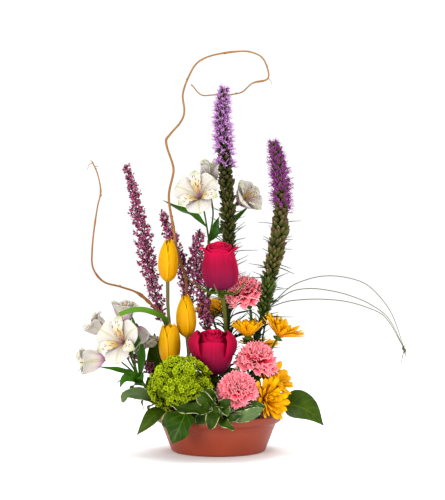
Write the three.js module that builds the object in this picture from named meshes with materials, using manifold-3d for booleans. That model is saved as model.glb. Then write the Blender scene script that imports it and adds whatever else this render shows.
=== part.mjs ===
// A cut-flower arrangement in a low terracotta-coloured bowl.
// Every stem stands in its own plain hole in a block of wet floral foam, which stands in the bowl.
// Units are millimetres. +Z is up and -Y is the front. The origin is the centre of the bowl's underside.

import * as THREE from "three";
import { mergeVertices } from "three/addons/utils/BufferGeometryUtils.js";
import Module from "manifold-3d";

const wasm = await Module();
wasm.setup();

// ---------------------------------------------------------------- driving dimensions

const GAP = 0.3; // clearance between pieces that touch
const BOWL = {
  rim: 89, // outer radius of the banded rim
  height: 53.5,
  band: 43, // height of the band's lower edge
  neck: 81.5, // radius just under the band
  neckHeight: 38,
  foot: 66.5,
  wall: 3,
  floor: 4,
  facets: 30,
};
const FOAM = { radius: 58, top: 58, bevel: 4, facets: 16 };
const ROOT = 32; // height of a cut stem's end inside the foam
const CLEAR = 60.5; // height at which a stem has left the foam
const BLADE = 0.9; // thickness of a petal or leaf along its midrib

const TULIP = { height: 61, radius: 14 };
const ROSE = { height: 68, radius: 24 };
const CARNATION = { radius: 29, depth: 38, calyx: 14 };
const ALSTROEMERIA = { tube: 12, outerLength: 38, outerWidth: 16, innerLength: 36, innerWidth: 8 };
const DAISY = { petals: 20, disc: 6.5 };
const VIBURNUM = { radii: [43, 37, 37], relief: 0.16 };

const COLOURS = {
  terracotta: [0xb4523a, 0.5],
  foam: [0x3f5a34, 0.95],
  bark: [0xb8722f, 0.6],
  leaf: [0x3f6a22, 0.5],
  darkLeaf: [0x2c4a1e, 0.55],
  freshLeaf: [0x6f9a3a, 0.5],
  greyLeaf: [0x5d7a4a, 0.55],
  heather: [0xa04a86, 0.7],
  liatris: [0x8f48b0, 0.7],
  white: [0xf1ece4, 0.55],
  yellow: [0xf4b800, 0.5],
  daisy: [0xf0a800, 0.55],
  rose: [0xc8083f, 0.6],
  carnation: [0xee7f92, 0.65],
  lime: [0x9dbb18, 0.6],
};

// ---------------------------------------------------------------- small helpers

const V = (x, y, z) => new THREE.Vector3(x, y, z);
const range = (n) => Array.from({ length: n }, (_, i) => i);
const mix = THREE.MathUtils.lerp;
const rad = THREE.MathUtils.degToRad;
const GOLDEN = rad(137.508);

// Random draws that are the same every time.
function seeded(seed) {
  let state = seed;
  return () => {
    state = (state * 1664525 + 1013904223) % 4294967296;
    return state / 4294967296;
  };
}

// The value at t (0 to 1) of evenly spaced samples.
function along(samples, t) {
  const at = Math.min(t, 0.999999) * (samples.length - 1);
  const i = Math.floor(at);
  return mix(samples[i], samples[i + 1], at - i);
}

const smooth = (points) => new THREE.CatmullRomCurve3(points.map((p) => V(...p)), false, "centripetal");

// A closed skin over a row of rings. A ring of one point is a tip, and a larger first or last ring is capped.
// By default its two halves are split alike, so that a thin waved blade keeps its thickness.
function skin(rings, crossed = (i, j, count) => 2 * j >= count) {
  const index = [];
  let start = 0;
  rings.slice(1).forEach((next, i) => {
    const ring = rings[i];
    const nextStart = start + ring.length;
    const count = Math.max(ring.length, next.length);
    range(count).forEach((j) => {
      const a = start + (j % ring.length);
      const b = start + ((j + 1) % ring.length);
      const c = nextStart + ((j + 1) % next.length);
      const d = nextStart + (j % next.length);
      if (ring.length === 1) index.push(a, c, d);
      else if (next.length === 1) index.push(a, b, c);
      else if (crossed(i, j, count)) index.push(a, b, d, b, c, d);
      else index.push(a, b, c, a, c, d);
    });
    start = nextStart;
  });
  const cap = (first, count, turned) => {
    for (let j = 1; j < count - 1; j++) {
      index.push(first, ...(turned ? [first + j + 1, first + j] : [first + j, first + j + 1]));
    }
  };
  cap(0, rings[0].length, true);
  cap(start, rings.at(-1).length, false);
  return new THREE.BufferGeometry().setFromPoints(rings.flat()).setIndex(index);
}

// A closed geometry as a solid, whichever way its faces were wound.
function solid(geometry) {
  const bare = geometry.clone();
  bare.deleteAttribute("normal");
  bare.deleteAttribute("uv");
  const merged = mergeVertices(bare, 1e-4);
  const vertProperties = new Float32Array(merged.attributes.position.array);
  const build = (triVerts) => new wasm.Manifold(new wasm.Mesh({ numProp: 3, vertProperties, triVerts }));
  const triVerts = new Uint32Array(merged.index.array);
  const made = build(triVerts);
  return made.volume() < 0 ? build(triVerts.reverse()) : made;
}

// Several solids as one body. A scrap that ends up loose is dropped.
function fuse(solids) {
  const bodies = wasm.Manifold.union(solids).decompose();
  return bodies.reduce((largest, body) => (body.volume() > largest.volume() ? body : largest));
}

// The geometry in a frame whose +Z looks along `axis`, rolled about it, with its origin at `at`.
function placed(geometry, at, axis, roll = 0) {
  const turn = new THREE.Quaternion().setFromUnitVectors(V(0, 0, 1), axis.clone().normalize());
  turn.multiply(new THREE.Quaternion().setFromAxisAngle(V(0, 0, 1), roll));
  return geometry.clone().applyMatrix4(new THREE.Matrix4().compose(at, turn, V(1, 1, 1)));
}

const lathe = (profile, facets) =>
  new THREE.LatheGeometry(profile.map(([r, z]) => new THREE.Vector2(r, z)), facets).rotateX(Math.PI / 2);

// ---------------------------------------------------------------- stems, blades and small repeats

const holes = []; // one for each stem that stands in the foam

// A ring of points about a station of a curve, with its own distance from the curve for each point.
function ringAt(centre, frames, i, radii) {
  return radii.map((r, j) => {
    const turn = (j / radii.length) * 2 * Math.PI;
    return centre
      .clone()
      .addScaledVector(frames.normals[i], r * Math.cos(turn))
      .addScaledVector(frames.binormals[i], r * Math.sin(turn));
  });
}

// A round stem or twig through its points, thinning towards its far end. One that starts below the foam's top
// stands in the foam: its first length is straight and leaves a plain hole.
function stem(points, radius, { tip = radius, sides = 4, steps = 2 * points.length - 2 } = {}) {
  const rooted = points[0][2] < FOAM.top;
  const curve = smooth(rooted ? points.slice(1) : points);
  const frames = curve.computeFrenetFrames(steps, false);
  const round = (r) => Array(sides).fill(r);
  const rings = range(steps + 1).map((i) => {
    const t = i / steps;
    return ringAt(curve.getPointAt(t), frames, i, round(mix(radius, tip, t)));
  });
  if (rooted) {
    const [end, exit] = [V(...points[0]), V(...points[1])];
    const bore = round((radius + GAP) / Math.cos(Math.PI / sides));
    const bottom = end.clone().addScaledVector(exit.clone().sub(end).normalize(), -GAP);
    rings.unshift(ringAt(end, frames, 0, round(radius)));
    holes.push(solid(skin([ringAt(bottom, frames, 0, bore), ringAt(exit, frames, 0, bore)])));
  }
  return solid(skin(rings));
}

// Pointed florets or buds that cover a stem, as one skin: peaks and hollows take turns round it and along it.
// `reach` gives how far the peaks stand out along it, and `lift` how far they point towards its tip.
function tufted(points, { sides, steps, core, reach, lift, seed }) {
  const curve = smooth(points);
  const frames = curve.computeFrenetFrames(steps, false);
  const draw = seeded(seed);
  const peak = (i, j) => (i + j) % 2 === 1 && i > 0 && i < steps;
  const rings = range(steps + 1).map((i) => {
    const t = i / steps;
    const radii = range(sides).map((j) => (peak(i, j) ? along(reach, t) * mix(0.65, 1, draw()) : core));
    return ringAt(curve.getPointAt(t), frames, i, radii).map((point, j) =>
      peak(i, j) ? point.addScaledVector(frames.tangents[i], lift) : point,
    );
  });
  return solid(skin(rings, (i, j) => peak(i, j) || peak(i + 1, j + 1)));
}

const LEAF_SHAPE = [0.15, 0.85, 1, 0.7, 0]; // half-widths from base to tip, as shares of the widest
const SPRIG_SHAPE = [0.12, 1, 0.85, 0];
const STRAP_SHAPE = [0.5, 1, 1, 0.85, 0.6];

// A thin blade whose midrib runs through its points and whose front looks towards `face`.
// `cup` lifts its edges forward, and `wave` moves them to and fro.
function blade(points, halfWidth, options = {}) {
  const { shape = LEAF_SHAPE, face = [0, -1, 0.5], cup = 0.25, wave = 0, thick = BLADE } = options;
  const curve = smooth(points);
  const steps = shape.length - 1;
  return solid(
    skin(
      shape.map((share, i) => {
        const at = curve.getPointAt(i / steps);
        if (share === 0) return [at];
        const tangent = curve.getTangentAt(i / steps);
        const side = tangent.clone().cross(V(...face)).normalize();
        const front = side.clone().cross(tangent).normalize();
        const w = share * halfWidth;
        const ripple = wave * w * (i % 2 ? 1 : -1);
        return [
          at.clone().addScaledVector(side, -w).addScaledVector(front, cup * w + ripple),
          at.clone().addScaledVector(front, -thick / 2),
          at.clone().addScaledVector(side, w).addScaledVector(front, cup * w - ripple),
          at.clone().addScaledVector(front, thick / 2),
        ];
      }),
    ),
  );
}

// A petal that wraps round the +Z axis. `profile` gives its [radius, height] stations, and `spans` its
// half-angles there. `tuck` moves one edge in and the other out, so that neighbours overlap.
function wrappedPetal(turn, profile, spans, { columns = 2, tuck = 0, thick = BLADE } = {}) {
  const inner = range(columns).map((c) => (2 * (c + 1)) / (columns + 1) - 1);
  return solid(
    skin(
      profile.map((station, i) => {
        const [before, after] = [profile[Math.max(i - 1, 0)], profile[Math.min(i + 1, profile.length - 1)]];
        const slope = new THREE.Vector2(after[1] - before[1], before[0] - after[0]).normalize();
        const point = (u, t) => {
          const r = station[0] + tuck * u + slope.x * t;
          const angle = turn + u * spans[i];
          return V(r * Math.cos(angle), r * Math.sin(angle), station[1] + slope.y * t);
        };
        if (spans[i] === 0) return [point(0, 0)];
        const outside = inner.map((u) => point(u, thick / 2));
        const inside = inner.toReversed().map((u) => point(u, -thick / 2));
        return [point(-1, 0), ...outside, point(1, 0), ...inside];
      }),
    ),
  );
}

// A pointed spindle from its root at `at`, with its girth at `belt` of its length.
function spindle(at, axis, length, girth, belt, sides) {
  const profile = [[0, 0], [girth, belt * length], [0, length]];
  return solid(placed(lathe(profile, sides), at, axis));
}

// Thin pointed leaves round a stem, a golden angle apart.
function needles(points, count, { low, high, length, girth, lift, seed }) {
  const curve = smooth(points);
  const draw = seeded(seed);
  return range(count).map((i) => {
    const t = mix(low, high, (i + 0.5) / count);
    const tangent = curve.getTangentAt(t);
    const side = tangent.clone().cross(V(0, 1, 0.01)).normalize();
    const out = side.applyAxisAngle(tangent, i * GOLDEN).addScaledVector(tangent, lift);
    return spindle(curve.getPointAt(t), out, length * mix(0.8, 1.1, draw()), girth, 0.3, 3);
  });
}

// ---------------------------------------------------------------- the bowl and the foam

function bowlSolid() {
  const { rim, height, band, neck, neckHeight, foot, wall, floor, facets } = BOWL;
  const round = 4; // the foot's corner
  return solid(
    lathe(
      [
        [0, 0], [foot - round, 0], [foot, round],
        [neck, neckHeight], [rim - 1, band], [rim, height - 1.5], [rim - 1.5, height],
        [rim - wall, height], [rim - wall - 1, band + 1], [neck - wall, neckHeight + 2],
        [foot - wall, floor], [0, floor],
      ],
      facets,
    ),
  );
}

function foamSolid() {
  const { radius, top, bevel, facets } = FOAM;
  const bottom = BOWL.floor + GAP;
  const profile = [[0, bottom], [radius, bottom], [radius, top - bevel], [radius - bevel, top], [0, top]];
  const block = solid(lathe(profile, facets));
  return block.subtract(wasm.Manifold.union(holes));
}

// ---------------------------------------------------------------- bloom forms
// Each grows along +Z from the origin.

// Tulip head: a bud of three inner petals, with three outer petals wrapped round it.
// `open` moves the tips away from the axis.
function tulipHead({ open = 0, seed = 1 }) {
  const { height: h, radius: r } = TULIP;
  const draw = seeded(seed);
  // The bud's girth, then its height on a petal's ridge and in the valley between two.
  const bud = [
    [0.36, 0.02, 0.02], [0.77, 0.2, 0.2], [0.84, 0.44, 0.44], [0.64, 0.76, 0.7], [0.16, 0.97, 0.84],
  ];
  const crown = bud.map(([wide, ridge, valley], i) =>
    range(6).map((j) => {
      const turn = ((j + 1) * Math.PI) / 3;
      const out = (j % 2 ? 0.82 : 1) * wide * r + (i > 2 ? open * 0.4 : 0);
      return V(out * Math.cos(turn), out * Math.sin(turn), h * (j % 2 ? valley : ridge));
    }),
  );
  const petals = range(3).map((i) => {
    const profile = [
      [0.2 * r, 0.04 * h], [0.88 * r, 0.17 * h], [r, 0.42 * h], [0.8 * r + open * 0.5, 0.73 * h],
      [0.14 * r + open, h * mix(0.95, 1, draw())],
    ];
    return wrappedPetal((i * 2 * Math.PI) / 3, profile, [0.7, 1, 1, 0.8, 0].map((s) => s * rad(57)));
  });
  return fuse([solid(skin([[V(0, 0, 0)], ...crown, [V(0, 0, 0.74 * h)]])), ...petals]);
}

// Rose head in whorls of wrapped petals round a core.
// `guards` are the turns of outer petals that have opened.
function roseHead({ guards = [], seed = 1, flare = 0.1 }) {
  const { height: h, radius: r } = ROSE;
  const draw = seeded(seed);
  const whorls = [
    { count: 3, profile: [[0.5, 0.5], [0.49, 0.78], [0.38, 0.97]] },
    { count: 3, profile: [[0.56, 0.38], [0.76, 0.66], [0.72, 1]] },
    { count: 4, profile: [[0.36, 0.06], [0.9, 0.22], [1, 0.5], [0.92 + flare, 0.94]] },
  ];
  const petals = whorls.flatMap(({ count, profile }, k) =>
    range(count).map((i) => {
      const turn = (i / count) * 2 * Math.PI + k * 0.9;
      const half = (Math.PI / count) * 1.1;
      const height = h * mix(0.96, 1, draw());
      const scaled = profile.map(([out, up]) => [out * r, up * height]);
      const spans = [...Array(profile.length - 1).fill(half), 0.72 * half];
      return wrappedPetal(turn, scaled, spans, { tuck: 1.5, thick: 1, columns: k ? 2 : 1 });
    }),
  );
  const opened = guards.map((turn) => {
    const profile = [[0.3, 0.04], [1.14, 0.2], [1.42, 0.5], [1.42, 0.84]];
    const scaled = profile.map(([out, up]) => [out * r, up * h]);
    const spans = [0.7, 1, 1, 0.66].map((share) => share * rad(50));
    return wrappedPetal(rad(turn), scaled, spans, { thick: 1 });
  });
  const core = [[0, 0], [0.3, 0.02], [0.62, 0.2], [0.62, 0.58], [0.2, 0.66], [0.16, 0.92], [0, 0.88]];
  return fuse([solid(lathe(core.map(([out, up]) => [out * r, up * h]), 7)), ...petals, ...opened]);
}

// Carnation head: pleated discs with frilled rims, stacked on the same axis and growing smaller.
function carnationHead({ seed = 1 }) {
  const { radius, depth } = CARNATION;
  const draw = seeded(seed);
  const layers = [
    { reach: 0.86, foot: 0, rim: 0.2, top: 0.42, points: 18 },
    { reach: 1, foot: 0.16, rim: 0.44, top: 0.6, points: 22 },
    { reach: 0.94, foot: 0.34, rim: 0.68, top: 0.76, points: 20 },
    { reach: 0.72, foot: 0.52, rim: 0.88, top: 0.88, points: 16 },
    { reach: 0.42, foot: 0.68, rim: 1, top: 0.94, points: 10 },
  ];
  return fuse(
    layers.map(({ reach, foot, rim, top, points }, k) => {
      const frill = range(points).map((j) => {
        const turn = ((j + 0.5 * k) / points) * 2 * Math.PI;
        const out = radius * reach * mix(0.9, 1, draw()) * (j % 2 ? 1 : 0.88);
        return V(out * Math.cos(turn), out * Math.sin(turn), depth * rim + (j % 2 ? 2.4 : -2.4));
      });
      return solid(skin([[V(0, 0, depth * foot)], frill, [V(0, 0, depth * top)]]));
    }),
  );
}

// Alstroemeria flower: a short tube, three broad outer and three narrow inner tepals, and long stamens.
function alstroemeriaFlower({ spread = 1, seed = 1 }) {
  const { tube, outerLength, outerWidth, innerLength, innerWidth } = ALSTROEMERIA;
  const draw = seeded(seed);
  const tepals = range(6).map((i) => {
    const inner = i % 2 === 1;
    const length = (inner ? innerLength : outerLength) * mix(0.95, 1.05, draw());
    const turn = (i * Math.PI) / 3;
    const reach = spread * length;
    const at = (out, up) => [out * reach * Math.cos(turn), out * reach * Math.sin(turn), up];
    const forward = inner ? 0.42 : 0.27;
    const middle = at(0.36, tube + forward * length);
    const rib = [at(0.03, 0.7 * tube), middle, at(0.84, tube + (forward + 0.22) * length)];
    const shape = inner ? [0.2, 0.45, 1, 0] : [0.1, 0.72, 1, 0.3];
    return blade(rib, spread * (inner ? innerWidth : outerWidth), { shape, face: [0, 0, 1], cup: 0.15 });
  });
  const throat = spindle(V(0, 0, 0), V(0, 0, 1), tube * 1.7, 3.4, 0.55, 6);
  const stamens = range(2).map((i) => spindle(V(0, 0, tube), V(0.35, 0.5 * i - 0.25, 1), 27, 0.9, 0.8, 3));
  return fuse([throat, ...tepals, ...stamens]);
}

// Daisy chrysanthemum: square-ended strap petals, alternately high and low, round a domed disc.
// `rise` is how far the petals' ends stand forward.
function daisyHead({ rise, radius, seed }) {
  const { petals, disc } = DAISY;
  const draw = seeded(seed);
  const step = (2 * Math.PI) / petals;
  const point = (angle, out, up) => V(out * Math.cos(angle), out * Math.sin(angle), up);
  const points = [V(0, 0, 8), V(0, 0, -1)];
  const index = range(petals).flatMap((i) => {
    const mid = i * step;
    const end = radius * mix(0.88, 1, draw());
    const tip = rise * mix(0.85, 1.1, draw()) - (i % 2 ? 3.5 : 0);
    points.push(
      point(mid - 0.5 * step, disc, 5), point(mid - 0.5 * step, 0.32 * radius, 0.2 * rise),
      point(mid - 0.4 * step, end, tip), point(mid + 0.4 * step, end, tip),
      point(mid, 0.62 * end, 0.6 * tip + BLADE), point(mid, 0.62 * end, 0.6 * tip - BLADE / 2),
    );
    const [hub, notch, left, right, rib, under] = range(6).map((k) => 2 + 6 * i + k);
    const nextHub = 2 + 6 * ((i + 1) % petals);
    const nextNotch = nextHub + 1;
    return [
      [0, hub, nextHub], [hub, notch, rib], [hub, rib, nextHub], [nextHub, rib, nextNotch],
      [notch, left, rib], [left, right, rib], [right, nextNotch, rib],
      [1, under, notch], [1, nextNotch, under],
      [left, notch, under], [right, left, under], [nextNotch, right, under],
    ].flat();
  });
  return solid(new THREE.BufferGeometry().setFromPoints(points).setIndex(index));
}

// Snowball viburnum head: a ball of six-sided florets. Each facet's middle is a hollow between three florets.
function viburnumHead(seed = 5) {
  const { radii, relief } = VIBURNUM;
  const draw = seeded(seed);
  const ball = new THREE.IcosahedronGeometry(1, 2);
  ball.deleteAttribute("normal");
  ball.deleteAttribute("uv");
  const merged = mergeVertices(ball, 1e-3);
  const corners = range(merged.attributes.position.count).map((i) =>
    V(0, 0, 0).fromBufferAttribute(merged.attributes.position, i),
  );
  const facets = range(merged.index.count / 3).map((i) => [0, 1, 2].map((k) => merged.index.getX(3 * i + k)));
  const hollows = facets.map((facet) =>
    facet.reduce((sum, k) => sum.add(corners[k]), V(0, 0, 0)).setLength(1 - relief),
  );
  const florets = corners.map((corner) => corner.clone().multiplyScalar(mix(0.94, 1.02, draw())));
  const index = facets.flatMap(([a, b, c], i) => {
    const middle = florets.length + i;
    return [a, b, middle, b, c, middle, c, a, middle];
  });
  const made = new THREE.BufferGeometry().setFromPoints([...florets, ...hollows]).setIndex(index);
  return solid(made.scale(...radii));
}

// ---------------------------------------------------------------- the arrangement as a scene graph

const arrangement = new THREE.Group();

// One sub-part from a solid, in the frame of its group.
function piece(name, made, colour, group = arrangement) {
  const { vertProperties, triVerts } = made.getMesh();
  const geometry = new THREE.BufferGeometry()
    .setAttribute("position", new THREE.BufferAttribute(new Float32Array(vertProperties), 3))
    .setIndex(new THREE.BufferAttribute(new Uint32Array(triVerts), 1));
  geometry.computeVertexNormals();
  const [color, roughness] = COLOURS[colour];
  const material = new THREE.MeshStandardMaterial({ color, roughness, metalness: 0, flatShading: true });
  const mesh = new THREE.Mesh(geometry, material);
  mesh.name = name;
  group.add(mesh);
  return mesh;
}

// A bloom, held just clear of its stem's end at `base` and looking along `axis`.
function bloom(name, made, colour, base, axis, roll = 0) {
  const facing = V(...axis).normalize();
  const mesh = piece(name, made, colour);
  mesh.quaternion.setFromUnitVectors(V(0, 0, 1), facing);
  mesh.quaternion.multiply(new THREE.Quaternion().setFromAxisAngle(V(0, 0, 1), rad(roll)));
  mesh.position.copy(V(...base)).addScaledVector(facing, GAP);
  return mesh;
}

piece("bowl", bowlSolid(), "terracotta");

// Curly willow: one tall twig that loops over the top, one shorter twig out to the left.
const WILLOW_TALL = [
  [-33, 23, ROOT], [-36, 24, CLEAR], [-42, 26, 120], [-45, 25, 180], [-45, 24, 215],
  [-46, 21, 239], [-50, 20, 252], [-59, 22, 280], [-64, 26, 312], [-70, 30, 347],
  [-70, 32, 363], [-64, 36, 391], [-65, 38, 401], [-75, 44, 435], [-69, 46, 445],
  [-54, 50, 463], [-49, 52, 477], [-51, 56, 504], [-38, 60, 538], [-27, 62, 551],
  [-5, 64, 560], [35, 64, 565], [52, 64, 562], [64, 63, 554], [72, 61, 532],
  [69, 60, 524], [49, 60, 519], [31, 60, 505], [-9, 60, 502], [-25, 58, 502],
  [-39, 58, 517],
];
const WILLOW_LEFT = [
  [-48, 22, ROOT], [-51, 22, CLEAR], [-57, 24, 110], [-63, 24, 160], [-73, 18, 183],
  [-96, 7, 206], [-114, 3, 221], [-139, 0, 230], [-161, -4, 237], [-175, -8, 256],
  [-176, -10, 281], [-173, -10, 312], [-168, -10, 344], [-164, -10, 362], [-168, -10, 386],
  [-176, -10, 405],
];
piece("willow_tall", stem(WILLOW_TALL, 2, { tip: 0.6, steps: 50 }), "bark");
piece(
  "willow_left",
  fuse([
    stem(WILLOW_LEFT, 1.6, { tip: 0.6, steps: 26 }),
    stem([[-174, -10, 402], [-180, -12, 400], [-182, -12, 393]], 0.6, { tip: 0.4, sides: 3, steps: 2 }),
    stem([[-172, -10, 398], [-167, -9, 397]], 0.6, { tip: 0.4, sides: 3, steps: 1 }),
  ]),
  "bark",
);

// Liatris: a tall spike of buds that has opened from the top, with thin leaves below the buds.
function liatris(name, { bare, budded, flowered, leaves, seed }) {
  const run = [...bare, ...budded];
  const spike = [
    stem([...bare, budded[0], budded[1]], 3, { steps: bare.length + 2 }),
    tufted(budded, { sides: 6, steps: 22, core: 3.6, reach: [8, 8.5, 9.5, 10, 8], lift: 5, seed }),
    ...needles(run, leaves.count, { ...leaves, girth: 1, lift: 0.7, seed: seed + 5 }),
  ];
  piece(`${name}_spike`, fuse(spike), "darkLeaf");
  const end = V(...budded.at(-1));
  const start = V(...flowered[0]).sub(end).setLength(GAP).add(end);
  const form = { sides: 6, steps: 18, core: 4, reach: [10, 12, 12, 11.5, 10, 6], lift: 3.5, seed: seed + 9 };
  piece(`${name}_flowers`, tufted([start.toArray(), ...flowered], form), "liatris");
}
liatris("liatris_centre", {
  bare: [[13, 38, ROOT], [13, 38, CLEAR], [13, 38, 150], [13, 37, 209]],
  budded: [[13, 36, 236], [13, 36, 252], [12, 34, 294], [12, 33, 330], [11, 32, 365], [9, 31, 401]],
  flowered: [[8, 30, 424], [5, 29, 464], [6, 28, 493], [8, 28, 508]],
  leaves: { low: 0.58, high: 0.76, count: 9, length: 32 },
  seed: 11,
});
liatris("liatris_right", {
  bare: [[41, 14, ROOT], [44, 12, CLEAR], [51, 6, 140], [57, 5, 169]],
  budded: [[62, 4, 190], [66, 4, 212], [71, 3, 239], [77, 3, 267], [83, 4, 295], [86, 5, 323]],
  flowered: [[88, 6, 344], [88, 7, 365], [85, 8, 393], [81, 9, 415], [77, 10, 431]],
  leaves: { low: 0.7, high: 0.92, count: 8, length: 28 },
  seed: 23,
});

// Heather: woody sprays, bare below and covered in small bells above.
function heather(name, { bare, flowered, steps, reach, seed }) {
  const lower = stem([...bare, flowered[0], flowered[1]], 1.3, { steps: bare.length + 1 });
  const upper = tufted(flowered, { sides: 4, steps, core: 1.7, reach, lift: 4, seed });
  piece(name, fuse([lower, upper]), "heather");
}
heather("heather_left", {
  bare: [[-43, 32, ROOT], [-47, 33, CLEAR], [-60, 36, 120]],
  flowered: [
    [-78, 36, 178], [-86, 36, 202], [-97, 35, 245], [-104, 34, 287],
    [-110, 34, 316], [-116, 34, 337], [-120, 34, 358], [-131, 34, 399],
  ],
  steps: 32,
  reach: [9, 12, 15, 17, 17, 15, 12, 9, 6],
  seed: 31,
});
heather("heather_middle", {
  bare: [[-22, 42, ROOT], [-26, 44, CLEAR], [-38, 47, 130]],
  flowered: [
    [-44, 48, 194], [-45, 48, 215], [-47, 48, 237], [-51, 48, 257], [-57, 48, 273],
    [-64, 48, 290], [-71, 48, 306], [-77, 48, 320], [-79, 48, 333],
  ],
  steps: 22,
  reach: [9, 13, 15, 14, 12, 8, 6],
  seed: 37,
});
heather("heather_right", {
  bare: [[-13, 22, ROOT], [-14, 23, CLEAR], [-16, 23, 120]],
  flowered: [
    [-18, 23, 181], [-24, 23, 214], [-29, 23, 245], [-32, 23, 266], [-30, 23, 287], [-26, 23, 304],
  ],
  steps: 20,
  reach: [9, 13, 15, 15, 13, 10],
  seed: 41,
});
heather("heather_low", {
  bare: [[-40, 4, ROOT + 8], [-54, 8, CLEAR]],
  flowered: [[-78, 16, 88], [-96, 20, 112], [-116, 22, 128], [-132, 24, 138]],
  steps: 10,
  reach: [7, 9, 9, 8, 6],
  seed: 43,
});

// Tulips, each head on its own bare stem.
// The tallest keeps one strap leaf, cut square, that arches to the left.
const TULIPS = [
  {
    run: [
      [-42, 13, ROOT], [-46, 13, CLEAR], [-58, 15, 110], [-67, 15, 160],
      [-71, 6, 200], [-71, -5, 228], [-71, -6, 237],
    ],
    axis: [0.02, 0, 1],
    roll: 90,
    open: 0,
  },
  {
    run: [[-28, 6, ROOT], [-30, 6, CLEAR], [-38, 5, 112], [-43.5, 4, 150], [-44, 4, 158]],
    axis: [-0.06, 0, 1],
    roll: 100,
    open: 0,
  },
  {
    run: [[-33, -9, ROOT], [-38, -8, CLEAR], [-54, -6, 90], [-68, -6, 112], [-68, -6, 118]],
    axis: [-0.02, 0, 1],
    roll: 80,
    open: 5,
  },
];
const TULIP_LEAF = [
  [-68, 15, 166], [-74, 8, 182], [-90, -8, 193], [-106, -14, 198], [-122, -18, 197], [-138, -22, 192],
];
TULIPS.forEach(({ run, axis, roll, open }, i) => {
  const parts = [stem(run, 2.2, { sides: 5 })];
  if (i === 0) parts.push(blade(TULIP_LEAF, 4.5, { shape: STRAP_SHAPE, face: [0, -0.8, 0.6], cup: 0.3 }));
  piece(`tulip_${i + 1}_stem`, fuse(parts), "freshLeaf");
  bloom(`tulip_${i + 1}_bloom`, tulipHead({ open, seed: 50 + i }), "yellow", run.at(-1), axis, roll);
});

// Roses, with narrow sepals under each head.
const SEPAL = { shape: [0.7, 1, 0.5, 0], face: [0, 0, 1], cup: 0.3 };
const ROSES = [
  {
    name: "rose_upper",
    run: [[12, 6, ROOT], [12, 6, CLEAR], [12, 7, 130], [9, 0, 190], [6, -9, 216], [5, -11, 225]],
    axis: [-0.08, -0.24, 0.97],
    roll: 40,
    head: { seed: 61, flare: 0.06 },
    tips: [
      [[-14, -20, 223], [-49, -30, 247]], [[24, -20, 222], [44, -28, 250]], [[2, -40, 216], [-6, -54, 236]],
      [[3, 4, 214], [-2, 14, 206]],
    ],
  },
  {
    name: "rose_lower",
    run: [[-6, -16, ROOT], [-7, -17, CLEAR], [-8, -25, 98], [-8, -26, 106]],
    axis: [0, -0.1, 1],
    roll: 0,
    head: { seed: 67, flare: 0, guards: [180, -16] },
    tips: [[[-22, -30, 99], [-31, -34, 110]], [[4, -42, 98], [8, -52, 101]], [[8, -16, 97], [18, -10, 95]]],
  },
];
ROSES.forEach(({ name, run, axis, roll, head, tips }) => {
  const base = V(...run.at(-1)).add(V(0, 0, -3)).toArray();
  const sepals = tips.map((points) => blade([base, ...points], 3, SEPAL));
  piece(`${name}_stem`, fuse([stem(run, 2.4, { tip: 3, sides: 5 }), ...sepals]), "freshLeaf");
  bloom(`${name}_bloom`, roseHead(head), "rose", run.at(-1), axis, roll);
});

// Carnations: each head sits in a slim green calyx.
const CARNATIONS = [
  {
    run: [[26, 15, ROOT], [27, 15, CLEAR], [38, 18, 130], [46, 20, 184], [45, 20, 196]],
    axis: [-0.3, -0.15, 0.95],
  },
  {
    run: [[30, -20, ROOT], [32, -22, CLEAR], [45, -24, 92], [49, -25, 106]],
    axis: [0.16, -0.3, 0.94],
  },
  {
    run: [[14, -32, ROOT + 4], [17, -37, CLEAR], [22, -46, 72], [24, -52, 77]],
    axis: [0.12, -0.78, 0.6],
  },
];
CARNATIONS.forEach(({ run, axis }, i) => {
  const facing = V(...axis).normalize();
  const base = V(...run.at(-1));
  const calyx = lathe([[0, -1], [2.8, 0], [4.2, 7], [4.2, CARNATION.calyx], [0, CARNATION.calyx]], 6);
  piece(`carnation_${i + 1}_stem`, fuse([stem(run, 1.9), solid(placed(calyx, base, facing))]), "greyLeaf");
  const seat = base.clone().addScaledVector(facing, CARNATION.calyx).toArray();
  bloom(`carnation_${i + 1}_bloom`, carnationHead({ seed: 71 + i }), "carnation", seat, axis, 20 * i);
});

// Snowball viburnum at the front left. Its stem stands in a plain socket in the head.
const VIBURNUM_CENTRE = [-52, -68, 99.5];
const VIBURNUM_STEM = [[-26, -30, ROOT + 4], [-30, -36, CLEAR], [-36, -46, 74], [-42, -56, 86]];
const socket = stem([[-30, -36, CLEAR], [-36, -46, 74], [-42.5, -56.8, 87]], 2 + 3 * GAP, { steps: 4 });
piece("viburnum_stem", stem(VIBURNUM_STEM, 2, { steps: 4 }), "freshLeaf");
piece("viburnum_head", fuse([viburnumHead().translate(VIBURNUM_CENTRE).subtract(socket)]), "lime");

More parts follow.
